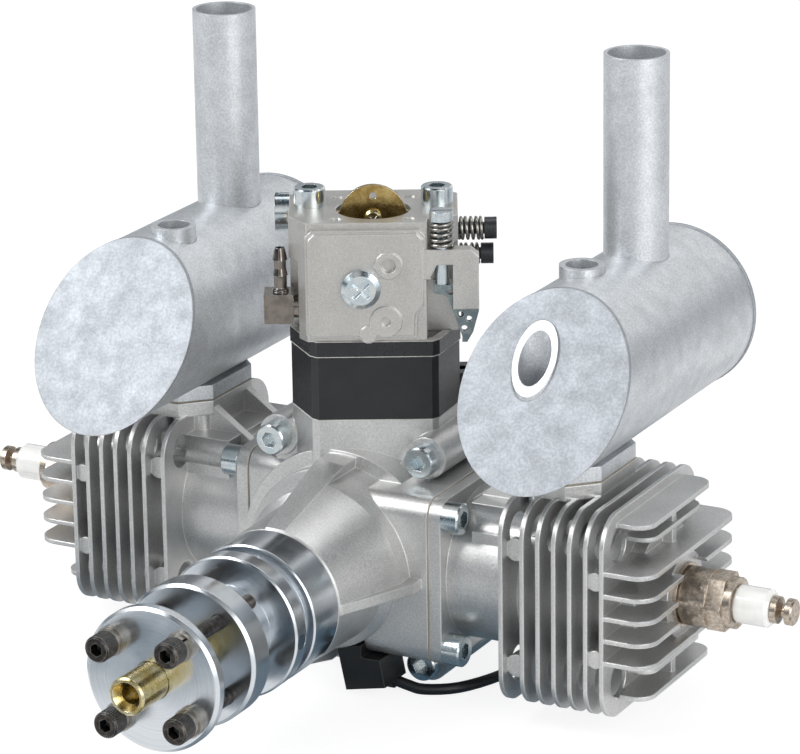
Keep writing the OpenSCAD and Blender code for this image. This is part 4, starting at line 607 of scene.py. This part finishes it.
class ENGINE_OT_stage(bpy.types.Operator):
    """Lays the floor and sets the lamps and the world"""

    bl_idname = "engine.stage"
    bl_label = "Stage"

    def execute(self, context):
        sizes = context.scene.engine_stage
        scene = context.scene
        white = (1.0, 1.0, 1.0, 1.0)
        middle_of_engine = Vector((0, -0.05, 0.04))
        mesh = bmesh.new()
        ground = Matrix.Translation((0, 0, sizes.floor_z))
        bmesh.ops.create_grid(mesh, x_segments=1, y_segments=1, size=6.0, matrix=ground)
        data = bpy.data.meshes.new("floor")
        mesh.to_mesh(data)
        mesh.free()
        floor = bpy.data.objects.new("floor", data)
        scene.collection.objects.link(floor)
        # White paper floor: the camera sees it white, and it keeps the soft shadow
        material, tree = new_material("white paper")
        rays = add(tree, "ShaderNodeLightPath")
        times = {"operation": "MULTIPLY"}
        most = {"operation": "MAXIMUM"}
        mirrored = add(tree, "ShaderNodeMath", times, i0=rays.outputs["Is Glossy Ray"], i1=0.8).outputs[0]
        direct = add(tree, "ShaderNodeMath", times, i0=rays.outputs["Is Camera Ray"], i1=0.78).outputs[0]
        share = add(tree, "ShaderNodeMath", most, i0=direct, i1=mirrored).outputs[0]
        paper = add(tree, "ShaderNodeBsdfDiffuse", Color=(0.9, 0.9, 0.9, 1.0))
        # To mirrors alone the ground shows painted dark patches of a few centimetres on white,
        # which are a painted reflection that gives polished metal its contrast
        spot = add(tree, "ShaderNodeTexCoord").outputs["Object"]
        painted_floor_reflection = add(tree, "ShaderNodeTexNoise", Vector=spot, Scale=1 / 0.055, Detail=0.0).outputs["Fac"]
        tint = add(
            tree, "ShaderNodeValToRGB", stops=[(0.38, "#4A6272"), (0.48, "#F4F4F4")], Fac=painted_floor_reflection,
        ).outputs[0]
        color = add(
            tree, "ShaderNodeMix", BLEND, i0=rays.outputs["Is Glossy Ray"], i6=white, i7=tint,
        ).outputs[2]
        glow = add(tree, "ShaderNodeEmission", Color=color, Strength=1.12)
        mixed = add(tree, "ShaderNodeMixShader", i0=share, i1=paper.outputs[0], i2=glow.outputs[0])
        add(tree, "ShaderNodeOutputMaterial", Surface=mixed.outputs[0])
        coat(floor, material)
        for name, place, size, power in (
            ("key softbox", (-0.75, -0.75, 0.95), 0.7, sizes.key_power),
            ("fill softbox", (1.0, -0.55, 0.45), 0.8, sizes.fill_power),
            ("top softbox", (0.15, 0.35, 1.15), 0.8, sizes.top_power),
        ):
            lamp = bpy.data.lights.new(name, "AREA")
            lamp.size = size
            lamp.energy = power
            stand = bpy.data.objects.new(name, lamp)
            stand.location = place
            aim = middle_of_engine - Vector(place)
            stand.rotation_euler = aim.to_track_quat("-Z", "Y").to_euler()
            scene.collection.objects.link(stand)
        # A white room: full strength to the camera and, near the horizon, to mirrors; greyer overhead
        world = bpy.data.worlds.new("white room")
        world.use_nodes = True
        tree = world.node_tree
        tree.nodes.clear()
        rays = add(tree, "ShaderNodeLightPath")
        around = add(tree, "ShaderNodeTexCoord").outputs["Generated"]
        height = add(tree, "ShaderNodeSeparateXYZ", Vector=around).outputs["Z"]
        # Mirrors alone also see painted dark patches in the room, a painted reflection that gives polished
        # metal its contrast
        painted_sky_reflection = add(tree, "ShaderNodeTexNoise", Vector=around, Scale=1.7, Detail=0.0).outputs["Fac"]
        tint = add(
            tree, "ShaderNodeValToRGB", stops=[(0.44, "#3C4C58"), (0.56, "#FFFFFF")], Fac=painted_sky_reflection,
        ).outputs[0]
        mirror = add(tree, "ShaderNodeMapRange", i0=height, i1=0.05, i2=0.75, i3=1.25, i4=0.6).outputs[0]
        glossy = add(
            tree, "ShaderNodeMath", most,
            i0=rays.outputs["Is Glossy Ray"], i1=rays.outputs["Is Transmission Ray"],
        ).outputs[0]
        level = add(tree, "ShaderNodeMix", i0=glossy, i2=0.45, i3=mirror).outputs[0]
        level = add(tree, "ShaderNodeMix", i0=rays.outputs["Is Camera Ray"], i2=level, i3=1.0).outputs[0]
        color = add(
            tree, "ShaderNodeMix", BLEND, i0=rays.outputs["Is Glossy Ray"], i6=white, i7=tint,
        ).outputs[2]
        sky = add(tree, "ShaderNodeBackground", Color=color, Strength=level)
        add(tree, "ShaderNodeOutputWorld", Surface=sky.outputs[0])
        scene.world = world
        scene.view_settings.view_transform = "Standard"
        return {"FINISHED"}


class ENGINE_OT_finishes(bpy.types.Operator):
    """Makes the materials and puts one on each CAD node"""

    bl_idname = "engine.finishes"
    bl_label = "Finishes"

    def execute(self, context):
        materials = build_materials(context.scene.engine_colours)
        for finish, nodes in NODE_FINISH.items():
            for name in nodes:
                coat(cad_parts[name], materials[finish])
        missing = set(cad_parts) - {n for nodes in NODE_FINISH.values() for n in nodes}
        if missing:
            raise RuntimeError(f"nodes without a finish: {sorted(missing)}")
        return {"FINISHED"}


class ENGINE_OT_springs(bpy.types.Operator):
    """Winds the springs of the idle screw and of the two needles"""

    bl_idname = "engine.springs"
    bl_label = "Adjuster springs"

    def execute(self, context):
        sizes = context.scene.engine_springs
        wire = sizes.wire / MM
        needle_wire = 0.9 * wire
        mesh = bmesh.new()
        carb = carb_frame()
        idle = carb @ Matrix.Translation((17.9, -17.3, 84.6))
        # The needles lie along the carburettor's x axis, one above the other
        along_x = Matrix.Rotation(math.pi / 2, 4, "Y")
        high, low = (carb @ Matrix.Translation((22.3, 8.0, z)) @ along_x for z in (82.7, 75.7))
        coil_spring(mesh, idle, 2.8, wire, sizes.turns, 7.5)
        for face in mesh.faces:
            face.material_index = 1
        coil_spring(mesh, high, 2.8, needle_wire, sizes.turns, 7.0)
        coil_spring(mesh, low, 2.5, needle_wire, sizes.turns - 1, 6.0)
        piece = mesh_piece("wound_springs", mesh, "spring wire steel", "engine_block", "adjuster_springs")
        piece.data.materials.append(bpy.data.materials["blue zinc plated steel"])
        piece.data.shade_smooth()
        return {"FINISHED"}


class ENGINE_OT_intake_gaskets(bpy.types.Operator):
    """Cuts the paper gaskets whose edges show at the three joints of the intake"""

    bl_idname = "engine.intake_gaskets"
    bl_label = "Intake gaskets"

    def execute(self, context):
        # The block's outline in the carburettor's frame
        corners = (
            (-15, -17.2), (15, -17.2), (16.8, -15.6), (22.4, -2), (22.4, 2), (16.8, 15.6),
            (15, 17.2), (-15, 17.2), (-16.8, 15.6), (-22.4, 2), (-22.4, -2), (-16.8, -15.6),
        )
        half_sheet = 0.1
        inner = -1.5
        mesh = bmesh.new()
        carb = carb_frame()
        # Hardly proud of the plate, so that the throttle lever swings past them
        for z, outer in ((37.5, 0.1), (55.0, 0.34), (59.2, 0.34)):
            rings = []
            for grow, rise in (
                (outer, -half_sheet), (outer, half_sheet), (inner, half_sheet), (inner, -half_sheet),
            ):
                ring = []
                for x, y in corners:
                    # The short end edges at y = 2 and -2 only move along x
                    wide = math.copysign(abs(x) + grow, x)
                    deep = math.copysign(abs(y) + grow * (abs(y) > 2), y)
                    ring.append(mesh.verts.new(carb @ Vector((wide, deep, z + rise))))
                rings.append(ring)
            for ring, following in zip(rings, rings[1:] + rings[:1]):
                for i in range(len(corners)):
                    k = (i + 1) % len(corners)
                    mesh.faces.new((ring[i], ring[k], following[k], following[i]))
        piece = mesh_piece("intake_gaskets", mesh, "grey gasket paper", "engine_block")
        return {"FINISHED"}


class ENGINE_OT_propeller_screws(bpy.types.Operator):
    """Builds the four propeller screws with knurled heads and cut threads"""

    bl_idname = "engine.propeller_screws"
    bl_label = "Propeller screws"

    def execute(self, context):
        teeth = context.scene.engine_springs.teeth
        mesh = bmesh.new()
        head_seat = 122.3
        pitch_radius = 14.05
        # An M4 screw: a plain shank, then the thread that goes into the hub, and a blunt tip
        shank, crest, core, pitch = 1.95, 1.98, 1.62, 0.7
        thread_start, thread_end = -24.5, -36.0
        for i in range(4):
            angle = math.radians(40 + 90 * i)
            centre = Vector((pitch_radius * math.cos(angle), -head_seat, -pitch_radius * math.sin(angle)))
            # The screw's own frame points to the front
            stand = crank_frame() @ Matrix.Translation(centre) @ Matrix.Rotation(math.pi / 2, 4, "X")
            screw_head(mesh, stand, radius=3.5, height=5.0, key=3.0, depth=3.0, teeth=teeth)
            profile = [(3.3, 0.0), (shank, 0.0), (shank, thread_start)]
            z = thread_start
            while z > thread_end:
                profile += [(core, z - pitch / 2), (crest, z - pitch)]
                z -= pitch
            profile += [(1.2, z - 0.4), (0.0, z - 0.4)]
            turned_profile(mesh, stand, profile)
        bmesh.ops.remove_doubles(mesh, verts=mesh.verts, dist=0.005 * MM)
        piece = mesh_piece("propeller_screws", mesh, "black oxide steel", "crank", "prop_bolts")
        return {"FINISHED"}


class ENGINE_OT_lead(bpy.types.Operator):
    """Lays the sensor lead on the floor, with its spare length in a coil behind the engine"""

    bl_idname = "engine.lead"
    bl_label = "Ignition lead"

    def execute(self, context):
        sizes = context.scene.engine_lead
        thick = sizes.diameter / MM
        low = context.scene.engine_stage.floor_z / MM + thick / 2
        route = [
            (15, -25, -31.3), (18, -25, -31.3), (21.5, -24.9, -32), (26, -24, low), (33.8, -18.8, low),
            (39.7, -6.6, low), (42, 8, low), (42, 24, low), (38, 40, low), (30, 54, low), (27, 66, low),
            (27, 74, low),
        ]
        points = smooth_route([Vector(p) for p in route], 4)
        radius = sizes.coil_radius / MM
        coil_x, coil_y = route[-1][0] - radius, route[-1][1]
        # One and a quarter turns, which climb over their own start after three quarters of a turn
        steps = 24
        for i in range(1, steps * 5 // 4 + 1):
            turn = math.tau * i / steps
            climb = min(max((i - steps * 3 / 4) * 4 / steps, 0.0), 1.0)
            x, y = coil_x + radius * math.cos(turn), coil_y + radius * math.sin(turn)
            points.append(Vector((x, y, low + thick * climb)))
        # Off the coil's back and, by one S-bend, straight into the plug
        plug_x, plug_z = -4, low + 1.0
        bend = 6.6
        bend_steps = 7
        reach = math.acos(1 - radius / (2 * bend))
        across = 2 * bend * math.sin(reach)
        for i in range(1, bend_steps + 1):
            turn = reach * i / bend_steps
            x = plug_x + across - bend * math.sin(turn)
            y = coil_y + radius - bend * (1 - math.cos(turn))
            points.append(Vector((x, y, low + thick - thick / 2 * i / bend_steps)))
        for i in range(bend_steps - 1, -1, -1):
            turn = reach * i / bend_steps
            x, y = plug_x + bend * math.sin(turn), coil_y + bend * (1 - math.cos(turn))
            points.append(Vector((x, y, plug_z + 0.5 * i / bend_steps)))
        points.append(Vector((plug_x - 2, coil_y, plug_z)))
        data = bpy.data.curves.new("ignition_lead", "CURVE")
        data.dimensions = "3D"
        data.bevel_depth = sizes.diameter / 2
        data.bevel_resolution = 6
        data.use_fill_caps = True
        spline = data.splines.new("POLY")
        spline.points.add(len(points) - 1)
        for knot, point in zip(spline.points, points):
            knot.co = (*crank_point(*point), 1.0)
        lead = bpy.data.objects.new("ignition_lead", data)
        context.scene.collection.objects.link(lead)
        coat(lead, bpy.data.materials["soft black vinyl"])
        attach(lead, "engine_block")
        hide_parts("sensor_lead", "lead_coil")
        return {"FINISHED"}


class ENGINE_PT_panel(bpy.types.Panel):
    """Lists the engine's pieces"""

    bl_label = "Engine"
    bl_idname = "ENGINE_PT_panel"
    bl_space_type = "VIEW_3D"
    bl_region_type = "UI"
    bl_category = "Engine"

    def draw(self, context):
        for operator in OPERATORS:
            self.layout.operator(operator.bl_idname)
        for name, _ in GROUPS:
            self.layout.label(text=name)
            group = getattr(context.scene, name)
            for key in group.bl_rna.properties.keys():
                if key not in ("rna_type", "name"):
                    self.layout.prop(group, key)


OPERATORS = (
    ENGINE_OT_camera,
    ENGINE_OT_finishes,
    ENGINE_OT_lead,
    ENGINE_OT_springs,
    ENGINE_OT_intake_gaskets,
    ENGINE_OT_propeller_screws,
    ENGINE_OT_stage,
)
GROUPS = (
    ("engine_camera", CameraSizes),
    ("engine_stage", StageSizes),
    ("engine_lead", LeadSizes),
    ("engine_springs", SpringSizes),
    ("engine_colours", Colours),
)


def register():
    for name, group in GROUPS:
        bpy.utils.register_class(group)
        setattr(bpy.types.Scene, name, PointerProperty(type=group))
    for operator in OPERATORS:
        bpy.utils.register_class(operator)
    bpy.utils.register_class(ENGINE_PT_panel)


def unregister():
    bpy.utils.unregister_class(ENGINE_PT_panel)
    for operator in reversed(OPERATORS):
        bpy.utils.unregister_class(operator)
    for name, group in reversed(GROUPS):
        delattr(bpy.types.Scene, name)
        bpy.utils.unregister_class(group)


def main():
    register()
    bpy.ops.engine.camera()
    bpy.ops.engine.finishes()
    bpy.ops.engine.lead()
    bpy.ops.engine.springs()
    bpy.ops.engine.intake_gaskets()
    bpy.ops.engine.propeller_screws()
    bpy.ops.engine.stage()


if __name__ == "__main__":
    main()
